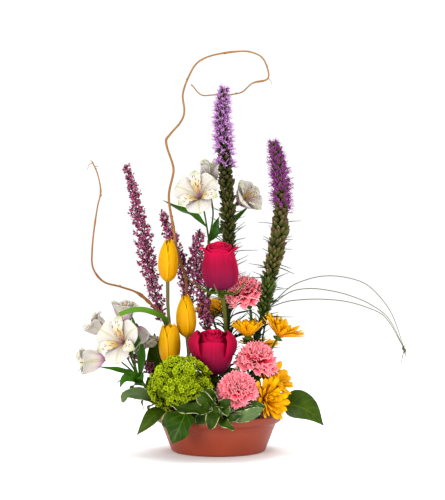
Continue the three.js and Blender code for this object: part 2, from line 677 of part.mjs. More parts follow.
// Yellow daisy chrysanthemums on three branching sprays.
const DAISIES = [
  { base: [41, -12, 159], axis: [0, -0.05, 1], rise: 22, radius: 24 },
  { base: [83, -8, 159], axis: [0.5, 0, 0.87], rise: 20, radius: 28 },
  { base: [-8, 72, 190], axis: [-0.2, 0.3, 0.95], rise: 14, radius: 24 },
  { base: [58, 50, 138], axis: [0.1, -0.1, 1], rise: 8, radius: 28 },
  { base: [82, -18, 98], axis: [0.62, -0.48, 0.4], rise: 13, radius: 26 },
  { base: [64, -48, 83], axis: [0.35, -0.9, -0.03], rise: 12, radius: 26 },
];
const DAISY_SPRAYS = [
  {
    name: "daisy_spray_upper",
    root: [37, -3, ROOT],
    exit: [38, -2, CLEAR],
    fork: [41, 2, 96],
    branches: [{ head: 0, bend: [42, -6, 130] }, { head: 1, bend: [68, -2, 132] }],
  },
  {
    name: "daisy_spray_back",
    root: [18, 44, ROOT],
    exit: [19, 47, CLEAR],
    fork: [22, 56, 92],
    branches: [{ head: 2, bend: [6, 66, 140] }, { head: 3, bend: [44, 56, 112] }],
  },
  {
    name: "daisy_spray_lower",
    root: [44, -22, ROOT],
    exit: [46, -22, CLEAR],
    fork: [52, -22, 70],
    branches: [{ head: 4, bend: [60, -21, 84] }, { head: 5, bend: [56, -28, 76] }],
  },
];
DAISIES.forEach(({ base, axis, rise, radius }, i) => {
  bloom(`daisy_${i + 1}_bloom`, daisyHead({ rise, radius, seed: 81 + i }), "daisy", base, axis, 13 * i);
});
DAISY_SPRAYS.forEach(({ name, root, exit, fork, branches }) => {
  const arms = branches.flatMap(({ head, bend }) => {
    const base = V(...DAISIES[head].base);
    const facing = V(...DAISIES[head].axis).normalize();
    const back = (by) => base.clone().addScaledVector(facing, -by).toArray();
    const calyx = solid(placed(lathe([[0, -6], [5.5, -1], [0, -1]], 6), base, facing));
    return [stem([fork, bend, back(12), back(3)], 1.5, { steps: 5 }), calyx];
  });
  const pastFork = fork.map((v, k) => mix(exit[k], v, 1.04));
  piece(`${name}_stem`, fuse([stem([root, exit, pastFork], 1.9, { steps: 2 }), ...arms]), "leaf");
});

// Alstroemeria: pale flowers on one branching stem to the left and another above the centre.
function alstroemeria(name, { trunk, leaves, heads, seed }) {
  const fork = trunk.at(-1);
  const pedicels = heads.map(({ base, axis, bend }) => {
    const neck = V(...base).addScaledVector(V(...axis).normalize(), -10).toArray();
    return stem([fork, ...(bend ? [bend] : []), neck, base], 1.3, { sides: 3, steps: 4 });
  });
  const blades = leaves.map(({ rib, width, face }) => blade(rib, width, { face }));
  piece(`${name}_stem`, fuse([stem(trunk, 2.2), ...pedicels, ...blades]), "leaf");
  heads.forEach(({ base, axis, roll, spread }, i) => {
    const flower = alstroemeriaFlower({ seed: seed + i, spread });
    bloom(`${name}_bloom_${i + 1}`, flower, "white", base, axis, roll);
  });
}
alstroemeria("alstroemeria_top", {
  trunk: [[-8, 44, ROOT], [-8, 45, CLEAR], [-12, 48, 140], [-15, 50, 215], [-14, 50, 294]],
  leaves: [
    {
      rib: [[-17, 51.5, 313], [-36, 46, 331], [-58, 43, 340], [-79, 42, 351]],
      width: 5.5,
      face: [0, -0.7, 0.7],
    },
    {
      rib: [[-13, 50, 292], [-6, 48, 305], [-3, 48, 318], [1, 48, 328]],
      width: 6,
      face: [0, -1, 0],
    },
    {
      rib: [[-10, 52, 300], [10, 66, 312], [30, 68, 330], [46, 70, 345]],
      width: 5,
      face: [0, -0.9, 0.4],
    },
  ],
  heads: [
    { base: [-24, 50, 342], axis: [-0.25, -0.8, 0.5], roll: 30, bend: [-18, 52, 318] },
    { base: [-13, 62, 366], axis: [0.05, 0.3, 0.95], roll: 0, spread: 0.75, bend: [-8, 60, 330] },
    { base: [23, 62, 340], axis: [0.7, -0.1, 0.7], roll: 15, spread: 0.85, bend: [8, 60, 318] },
  ],
  seed: 91,
});
alstroemeria("alstroemeria_left", {
  trunk: [[-44, -14, ROOT + 8], [-54, -15, CLEAR], [-78, -17, 72], [-94, -18, 82], [-112, -18, 106]],
  leaves: [
    {
      rib: [[-108, -18, 101], [-125, -30, 112], [-143, -40, 118], [-165, -46, 122]],
      width: 5,
      face: [0, -0.7, 0.7],
    },
    {
      rib: [[-106, -18, 98], [-118, -30, 106], [-130, -36, 104], [-136, -38, 92]],
      width: 8,
      face: [0, -0.9, 0.4],
    },
    {
      rib: [[-109, -18, 103], [-108, -10, 138], [-115, -12, 158], [-121, -16, 192]],
      width: 6,
      face: [0, -1, 0],
    },
  ],
  heads: [
    { base: [-128, -14, 150], axis: [-0.45, -0.8, 0.3], roll: 10 },
    { base: [-148, -26, 131], axis: [-0.97, -0.2, 0], roll: 30, spread: 0.7 },
    { base: [-146, 16, 150], axis: [-0.7, 0.2, 0.6], roll: 0, spread: 0.7 },
    { base: [-124, 8, 168], axis: [-0.15, 0.2, 0.95], roll: 20, spread: 0.7 },
    { base: [-118, 16, 148], axis: [0.7, 0.6, 0], roll: 0, spread: 0.7, bend: [-122, -4, 132] },
  ],
  seed: 101,
});

// Foliage. Each sprig is one body: its stem and the leaves that grow from it.
function sprig(name, run, leaves, colour) {
  const blades = leaves.map(({ rib, width, face, wave = 0.12, shape = SPRIG_SHAPE }) =>
    blade(rib, width, { face, wave, shape }),
  );
  piece(name, fuse([stem(run, 1.6, { steps: run.length }), ...blades]), colour);
}
sprig(
  "pittosporum_front",
  [[-4, -42, ROOT + 10], [-7, -54, CLEAR + 0.5], [-10, -72, 66], [-12, -88, 66]],
  [
    { rib: [[-12, -86, 66], [-40, -99, 66], [-66, -98, 76]], width: 9 },
    { rib: [[-12, -88, 66], [-32, -106, 56], [-47, -106, 52]], width: 8, face: [0, -1, 0.3] },
    { rib: [[-11, -75, 66], [-11, -86, 80], [-17, -95, 92]], width: 8, face: [0, -1, 0.3] },
    { rib: [[-11, -80, 66], [0, -94, 78], [11, -102, 85]], width: 8, face: [0, -1, 0.3] },
    { rib: [[-12, -88, 65], [-13, -102, 56], [-14, -106, 44]], width: 8, face: [0, -1, 0.2] },
    { rib: [[-12, -86, 66], [6, -103, 54], [16, -107, 41]], width: 9, face: [0, -1, 0.2] },
    { rib: [[-11, -84, 66], [14, -102, 66], [38, -106, 60]], width: 8, face: [0, -1, 0.4] },
    { rib: [[-11, -80, 66], [28, -96, 66], [60, -96, 70]], width: 8 },
  ],
  "greyLeaf",
);
sprig(
  "pittosporum_left",
  [[-36, -24, ROOT + 10], [-46, -29, CLEAR + 0.5], [-70, -34, 66], [-92, -38, 72]],
  [
    { rib: [[-91, -38, 72], [-108, -42, 78], [-128, -40, 82]], width: 11 },
    { rib: [[-84, -36, 70], [-94, -32, 90], [-98, -28, 106]], width: 7, face: [0, -1, 0.2] },
    { rib: [[-86, -37, 70], [-99, -62, 54], [-111, -66, 31]], width: 11, face: [-0.3, -1, 0.4] },
  ],
  "greyLeaf",
);
sprig(
  "pittosporum_back",
  [[2, 44, ROOT + 10], [2, 53, CLEAR + 0.5], [3, 74, 70], [4, 88, 76]],
  [
    { rib: [[4, 86, 75], [-20, 96, 72], [-46, 98, 62]], width: 11, face: [0, 1, 0.5] },
    { rib: [[4, 84, 74], [28, 98, 74], [52, 96, 62]], width: 11, face: [0, 1, 0.5] },
    { rib: [[4, 87, 75.5], [-2, 102, 60], [-6, 106, 42]], width: 10, face: [0, 1, 0.2] },
    { rib: [[3, 78, 72], [-14, 88, 96], [-24, 92, 112]], width: 10, face: [0, 1, 0.2] },
    { rib: [[3, 76, 71], [20, 88, 92], [30, 92, 108]], width: 10, face: [0, 1, 0.2] },
  ],
  "greyLeaf",
);
const IVY_SHAPE = [0.2, 1, 0.72, 0.8, 0.35, 0];
sprig(
  "ivy_front",
  [[-20, -42, ROOT + 10], [-26, -50, CLEAR + 0.5], [-40, -78, 58], [-50, -92, 56]],
  [
    {
      rib: [[-49, -91, 56], [-57, -99, 42], [-62, -100, 24]],
      width: 21,
      face: [-0.3, -1, 0.2],
      wave: 0,
      shape: IVY_SHAPE,
    },
  ],
  "darkLeaf",
);
sprig(
  "salal_right",
  [[42, 0, ROOT + 10], [50, -1, CLEAR + 0.5], [72, -8, 66], [92, -11, 65]],
  [
    {
      rib: [[90, -11, 65], [108, -15, 64], [127, -18, 56], [143, -20, 40]],
      width: 20,
      face: [0.1, -0.8, 0.6],
      wave: 0,
      shape: LEAF_SHAPE,
    },
  ],
  "leaf",
);
sprig(
  "salal_left",
  [[-34, 42, ROOT + 6], [-41, 46, CLEAR], [-60, 54, 78], [-76, 56, 98]],
  [
    {
      rib: [[-74, 56, 95], [-84, 54, 118], [-90, 52, 140], [-92, 48, 160]],
      width: 20,
      face: [0, -1, 0.2],
      wave: 0,
      shape: LEAF_SHAPE,
    },
  ],
  "darkLeaf",
);

// Bear grass: three fine blades that arch out to the right and are knotted together at their ends.
const KNOT = [262, 12, 141];
const GRASS_START = [70, 20, 198];
const GRASS = [
  [
    [101, 20, 228], [129, 19, 240], [153, 18, 244], [179, 17, 242],
    [207, 16, 233], [228, 15, 214], [245, 14, 189],
  ],
  [[101, 20, 221], [129, 20, 226], [158, 20, 223], [186, 18, 216], [214, 16, 204], [239, 14, 185]],
  [[94, 20, 207], [115, 20, 210], [143, 20, 211], [179, 18, 208], [211, 16, 199], [235, 14, 186]],
];
piece(
  "bear_grass",
  fuse([
    stem([[46, 24, ROOT], [48, 24, CLEAR], [58, 22, 130], GRASS_START], 1.3, { steps: 4 }),
    ...GRASS.map((run) => stem([GRASS_START, ...run, KNOT], 0.6, { sides: 3, steps: 12 })),
    solid(new THREE.OctahedronGeometry(3.4, 0).scale(0.8, 0.8, 1.5).translate(...KNOT)),
    stem([KNOT, [259, 12, 128], [257, 12, 117]], 0.6, { sides: 3, steps: 2 }),
    stem([KNOT, [264, 12, 132], [265, 12, 124]], 0.6, { sides: 3, steps: 2 }),
  ]),
  "darkLeaf",
);

// The foam comes last, because every stem leaves its hole in it.
piece("floral_foam", foamSolid(), "foam");

export default arrangement;
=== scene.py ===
"""A cut-flower arrangement in a low terracotta-coloured bowl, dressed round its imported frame.

Lengths are drawn in millimetres, +Z up and -Y to the front, from the centre of the bowl's underside.
Each piece is turned to metres when it is finished.
"""

import math
import random

import bmesh
import bpy
from mathutils import Matrix, Vector
from mathutils.geometry import interpolate_bezier


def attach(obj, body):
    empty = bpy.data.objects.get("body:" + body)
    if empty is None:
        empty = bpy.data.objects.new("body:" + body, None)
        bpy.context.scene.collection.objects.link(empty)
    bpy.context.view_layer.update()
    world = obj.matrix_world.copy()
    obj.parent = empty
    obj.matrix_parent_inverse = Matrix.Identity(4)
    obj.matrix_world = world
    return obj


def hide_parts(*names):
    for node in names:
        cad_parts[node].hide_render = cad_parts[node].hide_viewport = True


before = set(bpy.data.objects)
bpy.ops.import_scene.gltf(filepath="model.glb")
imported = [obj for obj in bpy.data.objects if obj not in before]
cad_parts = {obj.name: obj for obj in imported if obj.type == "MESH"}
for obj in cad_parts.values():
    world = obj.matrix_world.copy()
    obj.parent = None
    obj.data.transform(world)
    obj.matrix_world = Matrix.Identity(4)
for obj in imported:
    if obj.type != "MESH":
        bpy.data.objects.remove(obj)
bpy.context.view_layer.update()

MM = 0.001
ROOT = 32  # height of a cut stem's end inside the foam
CLEAR = 60.5  # height at which a stem has left the foam
GOLDEN = math.radians(137.508)  # the turn from one leaf or floret to the next
THICK = 0.6  # a leaf's or a broad petal's thickness, drawn a little stouter than real
UP = Vector((0, 0, 1))
STUDIO_LIGHT = 1.75  # how much brighter than its own colour a surface looks under the lights
PETAL_RIM = math.radians(62)  # a petal's edge that turns by more than this isn't shaded as round
BOWL_EDGE = math.radians(40)  # the same for the bowl's edges


# ---------------------------------------------------------------- camera, light and floor

def set_camera():
    """A long lens, a little above the flowers' middle, that looks slightly down from the front."""
    lens = bpy.data.cameras.new("camera")
    lens.lens = 113.18
    lens.sensor_width = 36
    camera = bpy.data.objects.new("camera", lens)
    camera.location = (0.0056, -2.2, 0.337)
    camera.rotation_euler = (math.radians(90 - 1.458), 0, 0)
    bpy.context.scene.collection.objects.link(camera)
    bpy.context.scene.camera = camera


def soft_light(name, place, width, power):
    """A square studio light that looks at the flowers' middle."""
    lamp = bpy.data.lights.new(name, "AREA")
    lamp.size = width
    lamp.energy = power
    obj = bpy.data.objects.new(name, lamp)
    obj.location = place
    obj.rotation_euler = (Vector((0, 0, 0.25)) - obj.location).to_track_quat("-Z", "Y").to_euler()
    bpy.context.scene.collection.objects.link(obj)


def set_studio():
    """A white room with a soft light on either side of the camera, the left one the stronger, and one above
    the back, which leaves the floor in front of the bowl in a short shadow. The room is so bright that the
    white floor melts into it far behind."""
    scene = bpy.context.scene
    scene.view_settings.view_transform = "Standard"
    scene.world = bpy.data.worlds.new("studio")
    scene.world.use_nodes = True
    sky = scene.world.node_tree.nodes["Background"]
    sky.inputs["Color"].default_value = (1, 1, 1, 1)
    sky.inputs["Strength"].default_value = 1.07
    soft_light("key", (-1.3, -2.0, 0.38), 0.8, 38)
    soft_light("fill", (1.5, -1.8, 0.3), 0.8, 27)
    soft_light("top", (0, 0.5, 1.8), 1.4, 25)
    bm = bmesh.new()
    bmesh.ops.create_grid(bm, x_segments=1, y_segments=1, size=20)  # so wide that its edge is out of sight
    mesh = bpy.data.meshes.new("floor")
    bm.to_mesh(mesh)
    bm.free()
    paper = bpy.data.materials.new("matt_white_paper")
    paper.use_nodes = True
    shader = paper.node_tree.nodes["Principled BSDF"]
    shader.inputs["Base Color"].default_value = (0.95, 0.95, 0.95, 1)
    shader.inputs["Roughness"].default_value = 1
    shader.inputs["Specular IOR Level"].default_value = 0
    mesh.materials.append(paper)
    floor = bpy.data.objects.new("floor", mesh)
    scene.collection.objects.link(floor)


# ---------------------------------------------------------------- materials

def surface(colour):
    """A finish's own colour as linear red, green, blue and alpha, from the sRGB hex colour that it shows when
    the studio's lights fall on it."""
    shares = [int(colour[i : i + 2], 16) / 255 for i in (1, 3, 5)]
    linear = [s / 12.92 if s <= 0.04045 else ((s + 0.055) / 1.055) ** 2.4 for s in shares]
    return (*(s / STUDIO_LIGHT for s in linear), 1)


def add(tree, kind, inputs=None, stops=None, **settings):
    """Adds a shader node. An input takes a value, a socket, or a node, whose first output it then reads."""
    made = tree.nodes.new("ShaderNode" + kind)
    for name, value in settings.items():
        setattr(made, name, value)
    for key, value in (inputs or {}).items():
        socket = made.inputs[key] if isinstance(key, int) else next(
            s for s in made.inputs if s.enabled and s.name == key
        )
        if isinstance(value, bpy.types.Node):
            value = next(s for s in value.outputs if s.enabled)
        if isinstance(value, bpy.types.NodeSocket):
            tree.links.new(value, socket)
        else:
            socket.default_value = value
    if stops:
        ramp = made.color_ramp.elements
        while len(ramp) < len(stops):
            ramp.new(1)
        for element, (position, colour) in zip(ramp, stops):
            element.position = position
            element.color = surface(colour)
    return made


def new_material(name, roughness, gloss=0.06):
    """A material that shines little, as leaves and petals do. Returns it with its node tree and shader."""
    made = bpy.data.materials.new(name)
    made.use_nodes = True
    tree = made.node_tree
    shader = tree.nodes["Principled BSDF"]
    shader.inputs["Roughness"].default_value = roughness
    shader.inputs["Specular IOR Level"].default_value = gloss
    return made, tree, shader


def toned(tree, colour, spread, lift=1):
    """The colour, lighter or darker by the tone of each petal, leaf or floret, by up to the share `spread`.
    `lift` brightens all of them with painted light, which makes up for the shade that crowded petals cast on
    each other."""
    tone = add(tree, "Attribute", attribute_name="tone")
    darkest, lightest = lift * (1 - spread), lift * (1 + spread)
    value = add(tree, "MapRange", {"Value": tone.outputs["Fac"], "To Min": darkest, "To Max": lightest})
    return add(tree, "HueSaturation", {"Color": colour, "Value": value})


def bumped(tree, shader, height, depth_mm, strength=0.6):
    """Presses a height pattern into the surface, at most `depth_mm` deep."""
    bump = add(tree, "Bump", {"Height": height, "Distance": depth_mm * MM, "Strength": strength})
    tree.links.new(bump.outputs["Normal"], shader.inputs["Normal"])


def finish_colour(tree, shader, colour):
    """Links the last colour node to the shader."""
    socket = next(s for s in colour.outputs if s.enabled)
    tree.links.new(socket, shader.inputs["Base Color"])


def across_and_along(tree):
    """The map of a petal, leaf or stem, and its parts: X across it and Y along it, both from 0 to 1."""
    shape = add(tree, "UVMap", uv_map="shape")
    return shape, add(tree, "SeparateXYZ", {"Vector": shape})


def from_midline(tree, parts):
    """The distance from the midline, which is 0.5 at either margin."""
    middle = add(tree, "Math", {0: parts.outputs["X"], 1: 0.5}, operation="SUBTRACT")
    return add(tree, "Math", {0: middle}, operation="ABSOLUTE")


def fading(start, end, top=1):
    """The inputs of a range that falls from `top` at the start to nothing at the end."""
    return {"From Min": start, "From Max": end, "To Min": top, "To Max": 0}


def streaked(tree, colour, shape, fineness, detail, darkest):
    """The colour with lengthwise streaks, down to the share `darkest` of it, and the streaks themselves.
    `fineness` is how closely they lie across and along."""
    stretched = add(tree, "Mapping", {"Vector": shape, "Scale": (*fineness, 1)})
    streaks = add(tree, "TexNoise", {"Vector": stretched, "Scale": 1, "Detail": detail})
    shade = add(tree, "MapRange", {"Value": streaks, "From Min": 0.3, "From Max": 0.7, "To Min": darkest})
    inputs = {"Factor": 1.0, "A": colour, "B": shade}
    return add(tree, "Mix", inputs, data_type="RGBA", blend_type="MULTIPLY"), streaks


def petal_material(
    name, stops, veins=0.25, count=26, edge=None, rib=None, tone=0.12, lift=1, roughness=0.55,
):
    """A petal's finish. `stops` run from its base to its tip, and `count` fine streaks follow it lengthwise,
    darker by the share `veins`. `edge` is a (colour, width share) of its margin and `rib` the colour of its
    midline."""
    made, tree, shader = new_material(name, roughness)
    shape, parts = across_and_along(tree)
    colour = add(tree, "ValToRGB", {"Fac": parts.outputs["Y"]}, stops=stops)
    colour, streaks = streaked(tree, colour, shape, (count, 1.6), 1.5, 1 - veins)
    if edge:
        away = from_midline(tree, parts)
        rim = add(tree, "MapRange", {"Value": away, "From Min": 0.5 - edge[1], "From Max": 0.5})
        colour = add(tree, "Mix", {"Factor": rim, "A": colour, "B": surface(edge[0])}, data_type="RGBA")
    if rib:
        line = add(tree, "MapRange", {"Value": from_midline(tree, parts), **fading(0.015, 0.07, 0.7)})
        colour = add(tree, "Mix", {"Factor": line, "A": colour, "B": surface(rib)}, data_type="RGBA")
    finish_colour(tree, shader, toned(tree, colour, tone, lift))
    bumped(tree, shader, streaks, 0.06)
    return made


def leaf_material(
    name, green, deep, vein, ribs=7, slant=2.2, vein_share=0.5, edge=None, tone=0.2, roughness=0.42,
):
    """A leaf's finish: a mottled blade from deep to lighter green, with a pale midrib and `ribs` side veins
    that run forward to the margin. `edge` is a (colour, width share) of its irregular margin."""
    made, tree, shader = new_material(name, roughness, gloss=0.1)
    _, parts = across_and_along(tree)
    place = add(tree, "TexCoord").outputs["Object"]
    mottle = add(tree, "TexNoise", {"Vector": place, "Scale": 1 / (14 * MM), "Detail": 4})
    colour = add(tree, "ValToRGB", {"Fac": mottle}, stops=[(0.3, deep), (0.7, green)])
    away = from_midline(tree, parts)
    midrib = add(tree, "MapRange", {"Value": away, **fading(0.012, 0.035)})
    lean = add(tree, "Math", {0: away, 1: -slant, 2: 0}, operation="MULTIPLY_ADD")
    along_ribs = add(tree, "Math", {0: parts.outputs["Y"], 1: ribs, 2: lean}, operation="MULTIPLY_ADD")
    fold = add(tree, "Math", {0: along_ribs, 1: 0.5}, operation="PINGPONG")
    side_veins = add(tree, "MapRange", {"Value": fold, **fading(0.02, 0.09, 0.6)})
    lines = add(tree, "Math", {0: midrib, 1: side_veins}, operation="MAXIMUM")
    share = add(tree, "Math", {0: lines, 1: vein_share}, operation="MULTIPLY")
    colour = add(tree, "Mix", {"Factor": share, "A": colour, "B": surface(vein)}, data_type="RGBA")
    if edge:
        ragged = add(tree, "TexNoise", {"Vector": place, "Scale": 1 / (7 * MM), "Detail": 2})
        wander = add(tree, "Math", {0: ragged, 1: 0.36, 2: away}, operation="MULTIPLY_ADD")
        start = 0.69 - edge[1]
        rim = add(tree, "MapRange", {"Value": wander, "From Min": start, "From Max": start + 0.02})
        colour = add(tree, "Mix", {"Factor": rim, "A": colour, "B": surface(edge[0])}, data_type="RGBA")
    finish_colour(tree, shader, toned(tree, colour, tone))
    sunk = add(tree, "Math", {0: 1.0, 1: lines}, operation="SUBTRACT")
    bumped(tree, shader, sunk, 0.2)
    return made


def stem_material(name, low, high, grain=0.25, roughness=0.5):
    """A stem's finish: its colour low down and high up, with fine lengthwise streaks."""
    made, tree, shader = new_material(name, roughness)
    shape, parts = across_and_along(tree)
    colour = add(tree, "ValToRGB", {"Fac": parts.outputs["Y"]}, stops=[(0.1, low), (0.9, high)])
    colour, streaks = streaked(tree, colour, shape, (14, 9), 3, 1 - grain)
    finish_colour(tree, shader, colour)
    bumped(tree, shader, streaks, 0.06)
    return made


def bud_scale_material(name, foot, middle, shoulder, tip):
    """Liatris bud scales: satin shingles, coloured from foot to tip, each lighter or darker than the next."""
    stops = [(0.0, foot), (0.5, middle), (0.8, shoulder), (1.0, tip)]
    return petal_material(name, stops, veins=0.35, count=10, tone=0.35, roughness=0.65)


def terracotta_plastic():
    """Moulded polypropylene in a terracotta colour: evenly matt, with a faint cloudiness and a satin light.
    The moulding's grain, about 0.1 mm, is drawn coarser because it wouldn't show."""
    made, tree, shader = new_material("moulded_terracotta_plastic", 0.4, gloss=0.25)
    place = add(tree, "TexCoord").outputs["Object"]
    cloud = add(tree, "TexNoise", {"Vector": place, "Scale": 1 / (40 * MM), "Detail": 3})
    colour = add(tree, "ValToRGB", {"Fac": cloud}, stops=[(0.3, "#a03f26"), (0.7, "#ab462c")])
    finish_colour(tree, shader, colour)
    grain = add(tree, "TexNoise", {"Vector": place, "Scale": 1 / (0.9 * MM), "Detail": 2})
    bumped(tree, shader, grain, 0.05, 0.4)
    return made


def floral_foam():
    """Wet phenolic foam: dark green, crumbly and full of open cells, drawn coarser than the real ones of
    about 0.3 mm, which wouldn't show."""
    made, tree, shader = new_material("wet_floral_foam", 0.9)
    place = add(tree, "TexCoord").outputs["Object"]
    cells = add(tree, "TexVoronoi", {"Vector": place, "Scale": 1 / (1.4 * MM)})
    colour = add(tree, "ValToRGB", {"Fac": cells}, stops=[(0.0, "#1c2e18"), (0.5, "#3c5a30")])
    finish_colour(tree, shader, colour)
    bumped(tree, shader, cells, 0.5, 0.8)
    return made


def willow_bark():
    """Peeled-looking willow bark: golden brown and silky, darker towards the foot, with short dark scars."""
    made, tree, shader = new_material("golden_willow_bark", 0.4, gloss=0.2)
    place = add(tree, "TexCoord").outputs["Object"]
    height = add(tree, "SeparateXYZ", {"Vector": place}).outputs["Z"]
    share = add(tree, "MapRange", {"Value": height, "From Min": 0.12, "From Max": 0.5})
    stops = [(0.1, "#8a5216"), (0.45, "#b8762e"), (0.9, "#c28a48")]
    colour = add(tree, "ValToRGB", {"Fac": share}, stops=stops)
    shape = add(tree, "UVMap", uv_map="shape")
    colour, streaks = streaked(tree, colour, shape, (5, 60), 4, 0.62)
    finish_colour(tree, shader, colour)
    bumped(tree, shader, streaks, 0.15)
    return made


def streaked_tepal():
    """An inner alstroemeria tepal: white with a yellow blaze and short maroon dashes, green at the tip."""
    made, tree, shader = new_material("streaked_alstroemeria_tepal", 0.5)
    shape, parts = across_and_along(tree)
    stops = [
        (0.0, "#a04870"), (0.26, "#cc8ca0"), (0.38, "#e0be6c"), (0.56, "#dcd0b0"), (0.7, "#dcd8ce"),
        (1.0, "#a8b068"),
    ]
    colour = add(tree, "ValToRGB", {"Fac": parts.outputs["Y"]}, stops=stops)
    dashes = add(tree, "Mapping", {"Vector": shape, "Scale": (8, 7, 1)})
    cells = add(tree, "TexVoronoi", {"Vector": dashes, "Scale": 1, "Randomness": 0.6})
    spot = add(tree, "MapRange", {"Value": cells.outputs["Distance"], **fading(0.28, 0.4)})
    start = add(tree, "MapRange", {"Value": parts.outputs["Y"], "From Min": 0.3, "From Max": 0.4})
    end = add(tree, "MapRange", {"Value": parts.outputs["Y"], **fading(0.7, 0.82)})
    band = add(tree, "Math", {0: start, 1: end}, operation="MULTIPLY")
    share = add(tree, "Math", {0: spot, 1: band}, operation="MULTIPLY")
    colour = add(tree, "Mix", {"Factor": share, "A": colour, "B": surface("#6c1828")}, data_type="RGBA")
    finish_colour(tree, shader, toned(tree, colour, 0.06, 1.3))
    return made


TERRACOTTA = terracotta_plastic()
FOAM = floral_foam()
BARK = willow_bark()

# Tulip petals: waxy and bright, deeper orange-yellow low down and along the folds.
TULIP_YELLOW = petal_material(
    "waxy_tulip_petal", [(0.0, "#cb9e01"), (0.18, "#f0a500"), (0.7, "#fcb900"), (1.0, "#fab200")],
    veins=0.18, edge=("#ffc401", 0.1), lift=1.02, roughness=0.45,
)
# Rose petals: velvet with a dusty, bluish-red back, darkened low down by painted shade, that brightens to
# crimson at the lip.
ROSE_BACK = petal_material(
    "velvet_rose_petal_back", [(0.0, "#7e1c4a"), (0.3, "#8c1846"), (0.7, "#b0083c"), (1.0, "#da0446")],
    veins=0.2, count=24, edge=("#d4043f", 0.16), tone=0.08, lift=1.02, roughness=0.65,
)
# Their inner side: a clearer, glowing crimson.
ROSE_FRONT = petal_material(
    "velvet_rose_petal", [(0.0, "#a00030"), (0.5, "#d0003e"), (1.0, "#ee1450")],
    veins=0.12, count=30, tone=0.08, lift=1.15, roughness=0.65,
)
# Carnation petals: thin and chalky pink, deep rose with painted shade where they fold together, and almost
# white at the teeth with a painted highlight.
CARNATION_PINK = petal_material(
    "frilled_carnation_petal",
    [(0.0, "#e0203e"), (0.5, "#f84660"), (0.8, "#ff7484"), (0.95, "#ff8c98"), (1.0, "#ffb8c0")],
    veins=0.24, count=14, tone=0.14, lift=1.6, roughness=0.75,
)
# Chrysanthemum ray florets: matt golden yellow with grooves, browner at the root.
DAISY_YELLOW = petal_material(
    "golden_ray_floret", [(0.0, "#d18200"), (0.3, "#fba500"), (1.0, "#ffbd00")],
    veins=0.18, count=8, tone=0.13, lift=1.33, roughness=0.6,
)
# The disc's florets: a grainy, deeper gold that is brown between them.
DAISY_DISC = petal_material(
    "golden_disc_floret", [(0.0, "#9a6a08"), (1.0, "#e0a010")], tone=0.2, roughness=0.7,
)
# Alstroemeria tepals: thin translucent white, rose-mauve at the claw and green at the tip.
ALSTROEMERIA_OUTER = petal_material(
    "white_alstroemeria_tepal",
    [(0.0, "#b04c94"), (0.18, "#cc90b8"), (0.38, "#dad0c8"), (0.92, "#dcd8ce"), (1.0, "#a8b068")],
    veins=0.12, count=22, rib="#bcbc88", tone=0.05, lift=1.32, roughness=0.6,
)
ALSTROEMERIA_INNER = streaked_tepal()
# Anthers: dull ochre grains. Filaments: smooth pink threads that pale towards them.
STAMEN = petal_material("ochre_anther", [(0.0, "#c9a070"), (1.0, "#8e6a3c")], tone=0.2, roughness=0.7)
FILAMENT = petal_material("pink_filament", [(0.0, "#d08aa0"), (1.0, "#e8c6c8")], veins=0.05, tone=0.1)
# Snowball florets: crisp lime, with painted shade that makes them deeper green in the hollows and underneath.
VIBURNUM_LIME = petal_material(
    "lime_snowball_floret", [(0.0, "#465200"), (0.35, "#6e8000"), (1.0, "#bcd014")],
    veins=0.1, tone=0.72, lift=0.87, roughness=0.55,
)
# The stalks inside the ball, in painted shade: a dark green ground that shows in the gaps.
VIBURNUM_CORE = stem_material("shaded_snowball_stalks", "#2c4408", "#4c6a10")
# Liatris florets: fluffy threads, soft lilac in the middle and a deeper magenta on the right.
LIATRIS_LILAC = petal_material(
    "lilac_thread_floret", [(0.0, "#8f4c9c"), (0.5, "#b86ec2"), (1.0, "#dca0e0")],
    tone=0.22, lift=1.25, roughness=0.75,
)
LIATRIS_MAGENTA = petal_material(
    "magenta_thread_floret", [(0.0, "#7a2a77"), (0.5, "#9c3995"), (1.0, "#b35ba9")],
    tone=0.22, lift=1.1, roughness=0.75,
)
# Bud scales: dark green with brown-pink tips, paler and pinker when ripe, and all green low down.
BUD_SCALE = bud_scale_material("liatris_bud_scale", "#222f08", "#3c4917", "#5b552a", "#8b634f")
RIPE_SCALE = bud_scale_material("ripe_liatris_bud_scale", "#2e3c0c", "#505a20", "#74643a", "#a87c70")
GREEN_SCALE = bud_scale_material("green_liatris_bud_scale", "#2e460c", "#50681e", "#6c7a36", "#8a8460")
# Needle leaves: dull dark green threads.
NEEDLE_GREEN = stem_material("dark_needle_leaf", "#22360e", "#3a4f22", roughness=0.7)
# Heather: papery mauve bells on thin, rough woody shoots with scale-like leaves.
HEATHER_BELL = petal_material(
    "papery_heather_bell", [(0.0, "#7b2b4a"), (0.5, "#a74573"), (1.0, "#c77499")],
    tone=0.35, lift=1.3, roughness=0.8,
)
HEATHER_TWIG = stem_material("heather_twig", "#4a381c", "#4a4a22", grain=0.35, roughness=0.8)
# Stems: waxy yellow-green on tulips, olive on roses, bloomy grey-green on carnations, and fresh green on the
# rest.
TULIP_STEM = stem_material("waxy_tulip_stem", "#7a9440", "#7c7440")
ROSE_STEM = stem_material("rose_stem", "#4c5e22", "#70702c")
GREY_STEM = stem_material("bloomy_carnation_stem", "#54743c", "#5c7c40")
GREEN_STEM = stem_material("fresh_green_stem", "#4c6a20", "#5c802a")
# Pittosporum: satin green with an irregular cream margin, and a paler, duller back.
PITTOSPORUM = leaf_material(
    "variegated_pittosporum", "#446212", "#1f3604", "#586e1e",
    ribs=9, vein_share=0.12, edge=("#b0ac6e", 0.035),
)
PITTOSPORUM_UNDER = leaf_material(
    "pittosporum_underside", "#6e8650", "#5a7440", "#84986c", edge=("#d4d8a4", 0.03),
)
# Ivy: dark and satin, with pale veins.
IVY = leaf_material(
    "dark_ivy", "#2c4e00", "#1c3a00", "#627c0c", ribs=4, slant=3.0, vein_share=0.55, roughness=0.4,
)
